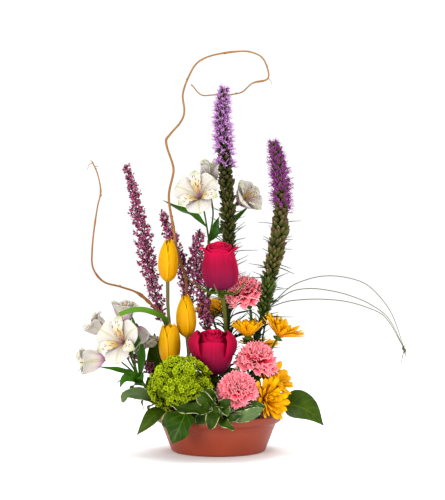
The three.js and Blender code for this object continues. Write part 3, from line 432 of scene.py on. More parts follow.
# Salal: leathery, with a light net of veins and a paler back.
SALAL = leaf_material("leathery_salal", "#4c6a04", "#345004", "#7c9420", ribs=6, slant=2.6, vein_share=0.4)
SALAL_UNDER = leaf_material("salal_underside", "#4e6e20", "#42621a", "#6c8438", ribs=6, slant=2.6)
# Fresh strap and lance leaves: light green with lines that run lengthwise.
STRAP_GREEN = petal_material(
    "strap_leaf", [(0.0, "#4b6d16"), (0.4, "#669b27"), (1.0, "#72ac27")],
    veins=0.3, count=20, roughness=0.45,
)
LANCE_GREEN = leaf_material(
    "lance_leaf", "#407b0a", "#2e5d06", "#5f911a", ribs=3, slant=0.6, vein_share=0.3,
)
# Rose sepals: green threads that dry to straw at their ends.
SEPAL_GREEN = petal_material("rose_sepal", [(0.0, "#4c7a14"), (0.4, "#6c8028"), (1.0, "#8a7a44")], veins=0.3)
# Bear grass: a dull grey-green wire of a leaf, paler towards its end.
GRASS = stem_material("bear_grass_blade", "#56683c", "#74805c", roughness=0.6)


# ---------------------------------------------------------------- lines and forms

# Leaf outlines: shares of a leaf's half width at even steps from its base to its tip.
LEAFLET = [0.12, 0.6, 0.95, 1, 0.88, 0.55, 0.04]
LANCE = [0.15, 0.7, 1, 0.95, 0.7, 0.35, 0.03]
TONGUE = [0.5, 0.9, 1, 0.85, 0.5, 0.04]
STRAP = [0.6, 0.95, 1, 0.9, 0.66]
OVAL = [0.14, 0.6, 0.92, 1, 0.98, 0.78, 0.2]
WEDGE = [0.4, 0.62, 0.84, 1, 0.98, 0.7, 0.16]
POINTED = [0.3, 0.8, 1, 0.9, 0.66, 0.36, 0.03]
SEPAL = [0.9, 1, 0.7, 0.45, 0.25, 0.05]
HEART = [0.25, 0.82, 1, 0.94, 0.76, 0.5, 0.24, 0.03]
IVY_LOBES = [0.5, 1.0, 0.96, 0.84, 0.98, 0.76, 0.4, 0.02]
# How pittosporum leaves bend: wavy at the margin, or hollow like a spoon.
RIPPLED = {"wave": 0.34, "waves": 2.3, "cup": 0.3, "columns": 10}
CUPPED = {"wave": 0.15, "waves": 1.6, "cup": 0.55, "columns": 10}


def along(samples, share):
    """The smoothly joined value, at a share from 0 to 1, of evenly spaced numbers or vectors."""
    at = min(max(share, 0), 1) * (len(samples) - 1)
    i = min(int(at), len(samples) - 2)
    t = at - i
    start, end = samples[i], samples[i + 1]
    before = samples[i - 1] if i else start
    after = samples[i + 2] if i + 2 < len(samples) else end
    rise_in, rise_out = (end - before) / 2, (after - start) / 2
    ease = t * t * (3 - 2 * t)
    return start * (1 - ease) + end * ease + rise_in * (t * (1 - t) ** 2) - rise_out * (t * t * (1 - t))


def smooth_line(points, count):
    """`count` evenly spaced points on a smooth line through the given ones."""
    fine = 16  # steps between two of them, before the line is divided evenly
    knots = [Vector(p) for p in points]
    knots = [2 * knots[0] - knots[1], *knots, 2 * knots[-1] - knots[-2]]
    dense = [knots[1]]
    for before, start, end, after in zip(knots, knots[1:], knots[2:], knots[3:]):
        third = (end - start).length / 3
        lead = start + (end - before).normalized() * third
        trail = end - (after - start).normalized() * third
        dense += interpolate_bezier(start, lead, trail, end, fine)[1:]
    reached = [0]
    for a, b in zip(dense, dense[1:]):
        reached.append(reached[-1] + (b - a).length)
    line, i = [], 0
    for k in range(count):
        wanted = reached[-1] * k / (count - 1)
        while i < len(dense) - 2 and reached[i + 1] < wanted:
            i += 1
        line.append(dense[i].lerp(dense[i + 1], (wanted - reached[i]) / (reached[i + 1] - reached[i])))
    return line


def ways_of(line):
    """The direction of a line at each of its points."""
    return [(b - a).normalized() for a, b in zip([line[0], *line], [*line[1:], line[-1]])]


def sides_of(line):
    """Two crosswise directions at each point of a line, carried along it without a twist."""
    ways = ways_of(line)
    side = ways[0].orthogonal().normalized()
    pairs = []
    for before, way in zip([ways[0], *ways], ways):
        side = before.rotation_difference(way) @ side
        pairs.append((side, way.cross(side)))
    return pairs


def course(points, count):
    """A smooth line's points, with its direction and its two crosswise directions at each of them."""
    line = smooth_line(points, count)
    return line, ways_of(line), sides_of(line)


def outward(pair, turn):
    """The direction away from a line, at a turn about it, from its two crosswise directions."""
    side, across = pair
    return side * math.cos(turn) + across * math.sin(turn)


def scatter(draw):
    """A random offset of up to 1 each way."""
    return Vector((draw.uniform(-1, 1), draw.uniform(-1, 1), draw.uniform(-1, 1)))


def mix(start, end, share):
    """The value at a share of the way from one number to another."""
    return start + (end - start) * share


def looking(base, axis, roll=0):
    """The place of something that grows along +Z: its base, the way it looks, and its roll in degrees."""
    turn = UP.rotation_difference(Vector(axis)).to_matrix().to_4x4()
    return Matrix.Translation(base) @ turn @ turned(math.radians(roll))


def turned(angle, axis="Z"):
    """A turn by an angle about an axis."""
    return Matrix.Rotation(angle, 4, axis)


def empty():
    """A bmesh with the layers that every piece has: its shape's UV map and its tone."""
    bm = bmesh.new()
    bm.loops.layers.uv.new("shape")
    bm.verts.layers.float.new("tone")
    return bm


def shade_round(bm, sharpest):
    """Shades the surface as round, except across edges that turn by more than `sharpest`."""
    for edge in bm.edges:
        edge.smooth = edge.calc_face_angle(0) < sharpest
    for face in bm.faces:
        face.smooth = True


def as_form(bm):
    """The bmesh as a smooth-shaded mesh that can be stamped many times."""
    shade_round(bm, PETAL_RIM)
    form = bpy.data.meshes.new("form")
    bm.to_mesh(form)
    bm.free()
    return form


def stamp(bm, form, place=None, tone=0.5, slot=None):
    """Adds a copy of a form at a place, with its own tone and, if given, another material slot."""
    copy = form.copy()
    if place:
        copy.transform(place)
    copy.attributes["tone"].data.foreach_set("value", [tone] * len(copy.vertices))
    if slot is not None:
        copy.polygons.foreach_set("material_index", [slot] * len(copy.polygons))
    bm.from_mesh(copy)
    bpy.data.meshes.remove(copy)


def moulded_grid(columns, rows, shape, joined):
    """A grid whose corners go to shape(u, v), u across and v along it. Those within `joined` become one."""
    bm = empty()
    bmesh.ops.create_grid(bm, x_segments=columns, y_segments=rows, size=0.5, calc_uvs=True)
    for vert in bm.verts:
        vert.co = shape(vert.co.x + 0.5, vert.co.y + 0.5)
    bmesh.ops.remove_doubles(bm, verts=bm.verts, dist=joined)
    return bm


def sheet(columns, rows, shape, thick, slot=0, under=None):
    """A thin closed blade: a moulded grid with a thickness, whose far side has material slot `under`."""
    bm = moulded_grid(columns, rows, shape, joined=0.01)
    near = set(bm.faces)
    for face in bm.faces:
        face.material_index = slot
    bmesh.ops.solidify(bm, geom=list(bm.faces), thickness=thick)
    for face in bm.faces:
        if face not in near:
            face.material_index = slot if under is None else under
    bmesh.ops.recalc_face_normals(bm, faces=bm.faces)
    return as_form(bm)


def tube(points, radii, sides=10, rings=24, slot=0):
    """A round stem on a smooth line through the points, with radii at even places along it."""
    line = smooth_line(points, rings + 1)
    pairs = sides_of(line)

    def shape(u, v):
        i = round(v * rings)
        return line[i] + outward(pairs[i], 2 * math.pi * u) * along(radii, v)

    bm = moulded_grid(sides, rings, shape, joined=0.005)
    bmesh.ops.holes_fill(bm, edges=[edge for edge in bm.edges if edge.is_boundary], sides=sides)
    bmesh.ops.recalc_face_normals(bm, faces=bm.faces)
    for face in bm.faces:
        face.material_index = slot
    return as_form(bm)


def blade(
    points, width, outline, face, cup=0.25, wave=0, waves=3, columns=8, rows=20, slot=0, under=None,
):
    """A leaf whose midrib runs through its points and whose front looks towards `face`. `width` is half its
    widest, and `outline` the shares of it from base to tip. `cup` lifts the edges, and `wave` ripples them
    `waves` times."""
    line = smooth_line(points, rows + 1)
    ways = ways_of(line)
    face = Vector(face)

    def shape(u, v):
        i = round(v * rows)
        side = ways[i].cross(face).normalized()
        front = side.cross(ways[i]).normalized()
        x = 2 * u - 1
        half = width * max(along(outline, v), 0)
        ripple = wave * x * x * math.sin(2 * math.pi * (waves * v + (0.4 if x > 0 else 0)))
        return line[i] + side * half * x + front * half * (cup * abs(x) ** 1.5 + ripple)

    return sheet(columns, rows, shape, THICK, slot, under)


def wrapped(
    turn, profile, half, outline, columns, rows,
    tuck=0, lip=0, point=0, frill=0, dip=0, crease=0, under=None,
):
    """A petal that wraps round the +Z axis. `profile` gives its (radius, height) stations, `half` its
    half-angle in degrees and `outline` the share of that at each station. `tuck` moves one edge in and the
    other out, `lip` rolls its top out, `point` draws the middle of the lip out, `frill` waves it, `dip`
    lowers its corners and `crease` sinks its midline."""
    stations = [Vector(station) for station in profile]

    def shape(u, v):
        x = 2 * u - 1
        radius, height = along(stations, v)
        roll = max(0, (v - 0.78) / 0.22) ** 2  # only the top fifth of the petal rolls
        tip = point * math.exp(-((x / 0.22) ** 2))
        radius += tuck * x - crease * math.exp(-((x / 0.16) ** 2)) * math.sin(math.pi * v)
        radius += (lip + tip + frill * math.sin(6 * x + 5 * turn)) * roll
        height -= dip * x * x * v**3 + 0.5 * lip * roll * roll
        height += 0.5 * frill * math.sin(5 * x + 3 * turn) * v**4
        angle = turn + x * math.radians(half) * along(outline, v)
        return Vector((radius * math.cos(angle), radius * math.sin(angle), height))

    return sheet(columns, rows, shape, THICK, under=under)


def pod(length, width, thick, outline, bend=0, around=8, rings=6, slot=0):
    """A small closed body from the origin along +Z, such as a bud, a bell, an anther or a strap petal.
    `bend` moves its tip towards +X, by that share of its length."""
    bm = empty()
    bmesh.ops.create_uvsphere(bm, u_segments=around, v_segments=rings, radius=1, calc_uvs=True)
    for vert in bm.verts:
        share = 0.5 + math.asin(max(-1, min(1, vert.co.z))) / math.pi
        ring = vert.co.xy.normalized() if abs(vert.co.z) < 0.9999 else Vector((0, 0))
        wide = along(outline, share) / 2
        lean = bend * length * share * share
        vert.co = (ring.x * thick * wide + lean, ring.y * width * wide, length * share)
    for face in bm.faces:
        face.material_index = slot
    return as_form(bm)


def leafy(bm, run, stretch, count, length, width, slot, seed, outline=LEAFLET):
    """Leaves on a stem between two shares of its length, each turned by the golden angle from the last."""
    draw = random.Random(seed)
    steps = 100
    line, ways, pairs = course(run, steps)
    for k in range(count):
        i = int(mix(*stretch, (k + 0.5) / count) * (steps - 1))
        side = outward(pairs[i], k * GOLDEN + seed)
        long = length * draw.uniform(0.7, 1.15)
        middle = line[i] + (side * 0.46 + ways[i] * draw.uniform(0.2, 0.4)) * long
        end = line[i] + (side * 0.88 + ways[i] * draw.uniform(-0.1, 0.5)) * long
        cup, wide = draw.uniform(0.15, 0.4), width * draw.uniform(0.8, 1.15)
        leaf = blade(
            [line[i] + side, middle, end], wide, outline, ways[i],
            cup=cup, wave=0.2, waves=2, columns=6, rows=12, slot=slot,
        )
        stamp(bm, leaf, tone=draw.random())


def finish_piece(node, bm, materials, place=None):
    """The bmesh as the piece that stands for a CAD node, in metres, with its place in its mesh."""
    if place:
        bmesh.ops.transform(bm, matrix=place, verts=bm.verts)
    bmesh.ops.scale(bm, vec=(MM, MM, MM), verts=bm.verts)
    mesh = bpy.data.meshes.new(node + "_fine")
    bm.to_mesh(mesh)
    bm.free()
    for material in materials:
        mesh.materials.append(material)
    piece = bpy.data.objects.new(node + "_fine", mesh)
    bpy.context.scene.collection.objects.link(piece)
    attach(piece, "root")
    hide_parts(node)


# ---------------------------------------------------------------- the bowl and its foam

def make_bowl():
    """A turned dish: a flat foot, a flared wall, a fine line, and a banded rim that stands out from it."""
    outside = [
        (0, 0), (62.5, 0), (64.8, 0.6), (66.3, 2.2), (67.2, 4.8), (72.0, 17), (78.6, 34.0), (78.6, 34.5),
        (79.3, 34.9), (80.4, 38.0), (81.2, 39.4), (83.4, 41.0), (86.2, 42.2), (87.6, 43.4), (88.1, 45.2),
        (88.9, 51.4), (88.8, 52.6), (88.2, 53.3), (87.4, 53.5),
    ]
    inside = [
        (86.4, 53.2), (86.0, 52.4), (85.4, 45.6), (84.2, 43.8), (79.4, 41.0), (77.6, 38.2), (64, 5), (62, 4),
        (0, 4),
    ]
    bm = empty()
    profile = [bm.verts.new((radius, 0, height)) for radius, height in outside + inside]
    edges = [bm.edges.new(pair) for pair in zip(profile, profile[1:])]
    bmesh.ops.spin(
        bm, geom=profile + edges, axis=UP, cent=(0, 0, 0), angle=2 * math.pi, steps=144, use_merge=True,
    )
    bmesh.ops.remove_doubles(bm, verts=bm.verts, dist=0.001)
    bmesh.ops.recalc_face_normals(bm, faces=bm.faces)
    shade_round(bm, BOWL_EDGE)
    finish_piece("bowl", bm, [TERRACOTTA])


def dress_foam():
    """The foam keeps its own shape, with the stems' holes, and only takes its finish."""
    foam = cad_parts["floral_foam"]
    for slot in foam.material_slots:
        slot.material = FOAM


# ---------------------------------------------------------------- bloom forms, each growing along +Z

def tulip_bloom(open_by, seed):
    """Three inner and three outer petals that wrap into a bud. `open_by` moves their tips from the axis."""
    draw = random.Random(seed)
    height, radius = 61, 14
    stations = [(0.14, -0.01), (0.7, 0.1), (0.98, 0.3), (1.0, 0.5), (0.86, 0.7), (0.6, 0.86), (0.3, 1)]
    bm = empty()
    for i in range(6):
        inner = i % 2 == 1
        size = 0.87 if inner else 1
        high = height * draw.uniform(0.96, 1) * (0.97 if inner else 1)
        profile = [(out * size * radius + open_by * up**2, up * high) for out, up in stations]
        petal = wrapped(
            math.radians(60 * i), profile, 64, [0.7, 0.95, 1, 1, 0.9, 0.68, 0],
            tuck=0.7, crease=0.7, columns=14, rows=20,
        )
        stamp(bm, petal, tone=draw.uniform(0.3, 0.7))
    return bm


def rose_bloom(heart_height, top, nod, guards, seed):
    """Petals in a golden spiral round a tight heart, then wide guard petals. `heart_height` is the share of
    the height that the spiral's last petals reach, `top` the share of their radius at their lips, and `nod`
    how much lower they end at the front. `guards` are (turn, half-angle, radius shares at five heights,
    height share, lip, pointed tip, outline)."""
    draw = random.Random(seed)
    height, radius = 68, 24
    count = 16
    bm = empty()
    for k in range(count):
        share = k / (count - 1)
        out = radius * (0.1 + 0.82 * share**0.75)
        reach = 1 - 0.04 * (1 - share) ** 2 - (1 - heart_height) * share**3
        high = height * reach * draw.uniform(0.97, 1)
        high *= 1 - nod * (0.3 + share) * (1 - math.sin(k * GOLDEN)) / 2
        foot = mix(0.5, 0.05, min(1, share * 1.6)) * height
        profile = [
            (0.3 * out, foot), (0.74 * out, mix(foot, high, 0.16)), (0.98 * out, mix(foot, high, 0.42)),
            (0.99 * out, mix(foot, high, 0.7)), (mix(0.9, top, share) * out, high),
        ]
        petal = wrapped(
            k * GOLDEN + draw.uniform(-0.15, 0.15), profile, mix(110, 66, share**0.6), [0.7, 1, 1, 1, 0.8],
            columns=16, rows=18, tuck=mix(0.5, 1.4, share), lip=mix(0.6, 1.8, share) * draw.uniform(0.7, 1.2),
            frill=mix(0.1, 0.3, share), dip=height * mix(0.03, 0.07, share), under=1,
        )
        stamp(bm, petal, tone=draw.uniform(0.3, 0.7))
    for turn, half, wide, tall, lip, point, outline in guards:
        shares = [(0.3, 0.03), *zip(wide, (0.16 * tall, 0.38 * tall, 0.6 * tall, 0.82 * tall, tall))]
        profile = [(out * radius, up * height) for out, up in shares]
        petal = wrapped(
            math.radians(turn), profile, half, outline, lip=lip, point=point, frill=0.5,
            dip=height * 0.1, columns=22, rows=24, under=1,
        )
        stamp(bm, petal, tone=draw.uniform(0.4, 0.6))
    return bm


def carnation_bloom(seed):
    """Fan-shaped petals from one root, ruffled and toothed, that fill a dome."""
    draw = random.Random(seed)
    count = 66
    bm = empty()
    for k in range(count):
        share = (k + 0.5) / count
        pitch = math.radians(mix(-2, 88, share**0.9) + draw.uniform(-8, 8))
        length = mix(33, 28.5, share) * draw.uniform(0.84, 1.05)
        fan = math.radians(mix(36, 26, share))
        phase, ruffles, droop = draw.uniform(0, 6.3), draw.uniform(1.4, 2.8), mix(6, -1, share)

        def shape(u, v):
            x = 2 * u - 1
            teeth = 0.12 * abs((8 * u) % 1 - 0.5) * 2 if v > 0.99 else 0
            out = length * v**0.8 * (1 - teeth - 0.12 * x * x)
            swing = x * fan * (0.5 + 0.5 * v)
            ruffle = 2.8 * v**2 * math.sin(phase + ruffles * math.pi * x)
            frill = 1.3 * v**3 * math.sin(2 * phase + 17 * x)
            return Vector((out * math.cos(swing), out * math.sin(swing), ruffle + frill - droop * v**3))

        petal = sheet(16, 7, shape, thick=0.35)
        root = Matrix.Translation((0, 0, mix(5, 8.5, share)))
        stamp(bm, petal, turned(k * GOLDEN) @ root @ turned(-pitch, "Y"), draw.random())
        bpy.data.meshes.remove(petal)
    return bm


def alstroemeria_bloom(spread, open_by, seed):
    """Three broad outer tepals, three narrow streaked inner ones, six stamens and a green ovary. `spread`
    is its size, and it is wide open at an `open_by` of 1."""
    draw = random.Random(seed)
    tube_height = 12
    bm = empty()
    for i in range(6):
        inner = i % 2 == 1
        length = spread * (37 if inner else 38) * draw.uniform(0.96, 1.04)
        half = spread * (8.4 if inner else 18.5)
        forward = 0.4 if inner else 0.27
        outline = (
            [0.22, 0.26, 0.36, 0.58, 0.86, 1, 0.96, 0.66, 0.1] if inner
            else [0.12, 0.32, 0.64, 0.9, 1, 1, 0.94, 0.74, 0.1]
        )
        line = [Vector((0.05, 0.4 * tube_height)), Vector((0.1, 0.9 * tube_height))]
        for out, up in ((0.36, forward), (0.66, forward + 0.16), (0.88, forward + 0.19)):
            rise = (up + 0.95 * out * (1 - open_by)) * 36 * spread
            line.append(Vector((out * open_by, tube_height + rise)))
        phase, fold = draw.uniform(0, 6.3), draw.uniform(0.7, 1.5)

        def shape(u, v):
            x = 2 * u - 1
            out, up = along(line, v)
            wide = half * max(along(outline, v), 0.02) * x
            ripple = 1.5 * open_by * x * x * v * math.sin(phase + 11 * v + 3 * x)
            ridge = 1.4 * math.exp(-((x / 0.12) ** 2)) * v * (1 - v) * 2
            lift = 0.2 * abs(wide) * (1 - 0.6 * v) + ripple - fold * 3 * v**5 - ridge
            return Vector((out * length, wide, up + lift))

        tepal = sheet(14, 18, shape, thick=0.4, under=1 if inner else 0)
        stamp(bm, tepal, turned(math.radians(60 * i)), draw.uniform(0.3, 0.7))
        bpy.data.meshes.remove(tepal)
    for i in range(6):
        turn = math.radians(60 * i + 20)
        out = Vector((math.cos(turn), math.sin(turn), 0)) * 3.5 + Vector((6, 0, 0)) * spread
        end = Vector((0, 0, 35 * spread + 4)) + out * 1.4
        stamp(bm, tube([(0, 0, 8), 20 * UP + 0.5 * out, end], [0.5, 0.32], sides=5, rings=8, slot=3))
        anther = pod(3.2, 1.5, 1.3, [0.4, 1, 1, 0.5], around=6, rings=4, slot=2)
        stamp(bm, anther, looking(end, (draw.uniform(-1, 1), draw.uniform(-1, 1), 0.6)), draw.random())
    ovary = pod(11, 6.4, 6.4, [0.3, 0.95, 1, 0.8, 0.5], around=12, rings=8, slot=4)
    stamp(bm, ovary)
    return bm


def daisy_bloom(rise, radius, double, seed):
    """Three rings of grooved strap petals round a disc of small florets. `rise` is how far the petals' ends
    stand forward. A double bloom has broader petals, and inner rings that hide its disc."""
    draw = random.Random(seed)
    petal_width = 9.6 if double else 6.4
    bm = empty()
    strap = pod(1, 1, 1, [0.45, 0.72, 0.92, 1, 1, 0.94, 0.55], bend=0.12, around=8, rings=9)
    for vert in strap.vertices:
        vert.co.x -= 0.35 * (1 - (2 * abs(vert.co.y)) ** 2) * math.sin(math.pi * vert.co.z)
    rings = [(21, 1.0, 0), (20, 0.94, 6), (13, 0.76, 15)]
    if double:
        rings = [(20, 1.0, 0), (16, 0.92, 9), (10, 0.7, 26), (8, 0.46, 52), (8, 0.36, 84)]
    for full, reach, lift in rings:
        count = round(full * (0.72 if double else 1))
        for i in range(count):
            turn = 2 * math.pi * (i + 0.3 * reach) / count + draw.uniform(-0.09, 0.09)
            pitch = math.atan2(rise - 3, radius - 3) + math.radians(lift + draw.uniform(-9, 9))
            length = math.hypot(radius - 2, rise - 3) * reach * draw.uniform(0.92, 1.08)
            wide = petal_width * mix(1, 0.84, min(1, lift / 15)) * draw.uniform(0.88, 1.1)
            twist = turned(draw.uniform(-0.35, 0.35))
            root = Matrix.Translation((4.6, 0, 3.0 + 0.05 * lift))
            place = turned(turn) @ root @ turned(math.pi / 2 - pitch, "Y") @ twist
            stamp(bm, strap, place @ Matrix.Diagonal((1.3, wide, length, 1)), draw.random())
    disc = pod(6.5, 13, 13, [0.2, 0.8, 1, 0.8, 0.3], around=16, rings=8, slot=1)
    stamp(bm, disc, Matrix.Translation((0, 0, 0.5)))
    floret = pod(2.2, 1.3, 1.3, [0.7, 0.8, 1, 0.9], around=5, rings=3, slot=1)
    count = 90
    for k in range(count):
        out = 6.0 * math.sqrt((k + 0.5) / count)
        turn = k * GOLDEN
        spot = Vector((out * math.cos(turn), out * math.sin(turn), 6.4 - 0.055 * out * out))
        stamp(bm, floret, looking(spot, (0.05 * spot.x, 0.05 * spot.y, 1)), draw.random())
    return bm


def viburnum_bloom(seed):
    """A ball of small five-petalled florets in loose clusters round a shaded core, with painted shade in its
    hollows and underneath.
    """
    draw = random.Random(seed)
    radii = Vector((40, 36, 35))
    bm = empty()
    petal = pod(5, 3.9, 0.9, [0.2, 0.6, 1, 1, 0.6], bend=-0.1, around=4, rings=4)
    star = empty()
    for i in range(5):
        stamp(star, petal, turned(math.radians(72 * i)) @ turned(math.radians(70), "Y"))
    eye = pod(1.6, 1.6, 1.6, [0.6, 1, 0.8], around=4, rings=3)
    stamp(star, eye, Matrix.Translation((0, 0, -0.4)))
    floret = as_form(star)
    lumps = [Vector((draw.gauss(0, 1), draw.gauss(0, 1), draw.gauss(0, 1))).normalized() for _ in range(44)]
    count = 860
    for k in range(count):
        height = 1 - 2 * (k + 0.5) / count
        ring = math.sqrt(1 - height * height)
        way = Vector((ring * math.cos(k * GOLDEN), ring * math.sin(k * GOLDEN), height))
        swell = max(way.dot(lump) for lump in lumps)
        deep = mix(0.74, 1.05, min(1, max(0, (swell - 0.84) / 0.13))) + draw.uniform(-0.08, 0.06)
        spot = Vector(a * b for a, b in zip(way, radii)) * deep
        facing = Vector(a / b for a, b in zip(way, radii)).normalized()
        facing += 0.85 * scatter(draw)
        size = draw.uniform(0.6, 0.95)
        place = looking(spot, facing, draw.uniform(0, 72)) @ Matrix.Scale(size, 4)
        # Painted shade and light: each floret's tone is darker in the hollows and underneath and lighter on
        # top, with a little random tone.
        painted_shading = (deep - 0.78) / 0.34 + 0.32 * way.z  # darker in the hollows and underneath
        stamp(bm, floret, place, min(1, max(0, painted_shading)))
    core = pod(2, 2, 2, [0, 0.71, 1, 0.71, 0], around=24, rings=16, slot=1)
    stamp(bm, core, Matrix.Diagonal((*(radii * 0.8), 1)) @ Matrix.Translation((0, 0, -1)))
    return bm


# ---------------------------------------------------------------- twigs, spikes and sprigs

def make_willow(node, points, thick, tip, swellings, twigs, seed):
    """A curly twig that thins towards its tip, with swollen knees, buds and fine side twigs.
    `swellings` are (share of the length, how much thicker)."""
    draw = random.Random(seed)
    rings = 8 * len(points)
    radii = [mix(thick, tip, (i / rings) ** 0.8) for i in range(rings + 1)]
    for at, more in swellings:
        radii = [r * (1 + more * math.exp(-(((i / rings - at) / 0.012) ** 2))) for i, r in enumerate(radii)]
    bm = empty()
    stamp(bm, tube(points, radii, sides=12, rings=rings))
    line, ways, pairs = course(points, rings + 1)
    bud = pod(4.2, 1.8, 1.6, [0.5, 1, 0.8, 0.1], bend=0.15, around=8, rings=5)
    for i in range(rings // 5, rings, 11):
        side = outward(pairs[i], i)
        spot = line[i] + side * (radii[i] - 0.4)
        stamp(bm, bud, looking(spot, ways[i] + 0.35 * side) @ Matrix.Scale(draw.uniform(0.6, 1), 4))
    for twig in twigs:
        stamp(bm, tube(twig, [0.6, 0.4, 0.3], sides=6, rings=10))
    finish_piece(node, bm, [BARK])


def add_buds(bm, run, green_share, full, draw):
    """Tight buds all round a stem, each second one with a narrow bract. `full` is how thick the buds are, and
    up to `green_share` of the stem they are still green."""
    steps, count = 200, 190
    line, ways, pairs = course(run, steps)
    bud = pod(11.5, 5.2, 4.6, [0.5, 0.95, 1, 0.72, 0.25], bend=-0.12, around=6, rings=5)
    bract = pod(1, 1.3, 0.6, [0.8, 1, 0.6, 0.1], bend=-0.12, around=4, rings=5, slot=1)
    for k in range(count):
        share = (k + 0.5) / count
        i = int(share * (steps - 1))
        side = outward(pairs[i], k * GOLDEN)
        facing = ways[i] + side * draw.uniform(0.6, 1.25) + pairs[i][0] * draw.uniform(-0.2, 0.2)
        size = mix(0.66, 1.05, min(1, 1.4 * share)) * draw.uniform(0.74, 1.2) * full
        root = line[i] + side * draw.uniform(2, 3.4) * full + ways[i] * draw.uniform(-1.5, 1.5)
        tone, slot = draw.random(), 2 if share < green_share else 0
        stamp(bm, bud, looking(root, facing, math.degrees(k)) @ Matrix.Scale(size, 4), tone, slot)
        if k % 2 == 0:
            long = mix(24, 13, share) * draw.uniform(0.7, 1.2)
            place = looking(line[i] + side * 3, side * draw.uniform(0.5, 1) + ways[i])
            stamp(bm, bract, place @ Matrix.Diagonal((1, 1, long, 1)), draw.random())


def add_needles(bm, run, low, high, count, length, draw):
    """Thread-thin curling leaves on a stem between two shares of its length, shorter and finer higher up."""
    steps = 300
    line, ways, pairs = course(run, steps)
    for k in range(count):
        up = (k + 0.5) / count
        i = int(mix(low, high, up**1.3) * (steps - 1))
        side = outward(pairs[i], k * GOLDEN + draw.uniform(-0.4, 0.4))
        long = length * mix(1.2, 0.85, up) * draw.uniform(0.6, 1.4)
        end = (side + ways[i] * draw.uniform(0.6, 1.7)).normalized() * long
        middle = (side * draw.uniform(0.2, 0.4) + ways[i] * draw.uniform(0.7, 1.0)) * long * 0.5
        curl = side * draw.uniform(-2, 5)
        curl += Vector((draw.uniform(-4, 4), draw.uniform(-4, 4), draw.uniform(-5, 0)))
        points = [line[i] + side * 1.5, line[i] + middle, line[i] + end + curl]
        thick = mix(1.2, 0.75, up)
        stamp(bm, tube(points, [thick, thick, 0.75 * thick, 0.3], sides=4, rings=10), slot=1)


def add_open_heads(bm, run, stars, full, draw):
    """Cups all round a stem, each with `stars` small florets and a tuft of threads. The lowest are shut."""
    steps, count, threads = 200, 104, 11
    line, ways, pairs = course(run, steps)
    cup = pod(9.5, 5.6 * full, 5 * full, [0.4, 0.95, 1, 0.9, 0.6], around=6, rings=4, slot=1)
    star = pod(7.4, 2.3, 2.0, [0.4, 0.6, 0.8, 1.1, 0.4], bend=0.1, around=6, rings=4)
    thread = tube([(0, 0, 0), (0.5, 0.2, 4), (2.4, 0.4, 10)], [0.34, 0.3, 0.2], sides=3, rings=4)
    for k in range(count):
        share = (k + 0.5) / count
        i = int(share * (steps - 1))
        side = outward(pairs[i], k * GOLDEN)
        facing = (ways[i] * mix(0.45, 1.2, share**2) + side).normalized()
        facing = (facing + 0.18 * scatter(draw)).normalized()
        spot = line[i] + side * 1.8
        size = mix(1.14, 0.6, share**5)
        stamp(bm, cup, looking(spot, facing) @ Matrix.Scale(size, 4), draw.random() * 0.5)
        if draw.random() > 3.5 * (share - 0.08):  # shut, as all of the lowest are
            continue
        for _ in range(stars):
            spray = facing + 0.62 * scatter(draw)
            place = looking(spot + facing * 5.4 * size, spray, draw.uniform(0, 90))
            stamp(bm, star, place @ Matrix.Scale(size * 0.85, 4), draw.random())
        for _ in range(threads):
            spray = facing + 0.9 * scatter(draw)
            place = looking(spot + facing * 6.0 * size, spray, draw.uniform(0, 360))
            stamp(bm, thread, place @ Matrix.Scale(size, 4), draw.random())


def make_liatris(name, bare, budded, flowered, lilac, scales, green_share, needles, stars, full, seed):
    """A bare foot, then a spike of tight buds with needle leaves, and florets that have opened from the top.
    `needles` gives where they start and end on the stem, how many there are and their length."""
    draw = random.Random(seed)
    meeting = Vector(budded[-1]).lerp(Vector(flowered[0]), 0.3)
    bm = empty()
    stamp(bm, tube([*bare, *budded, meeting], [3, 3, 3.4, 3, 2.4], rings=60), slot=1)
    add_buds(bm, [*budded, meeting], green_share, full, draw)
    add_needles(bm, [*bare, *budded], *needles, draw)
    finish_piece(f"{name}_spike", bm, [scales, NEEDLE_GREEN, GREEN_SCALE])

    bm = empty()
    stamp(bm, tube([meeting, *flowered], [2.6, 2.4, 1.2], sides=8), slot=1)
    add_open_heads(bm, [meeting, *flowered], stars, full, draw)
    finish_piece(f"{name}_flowers", bm, [lilac, scales])


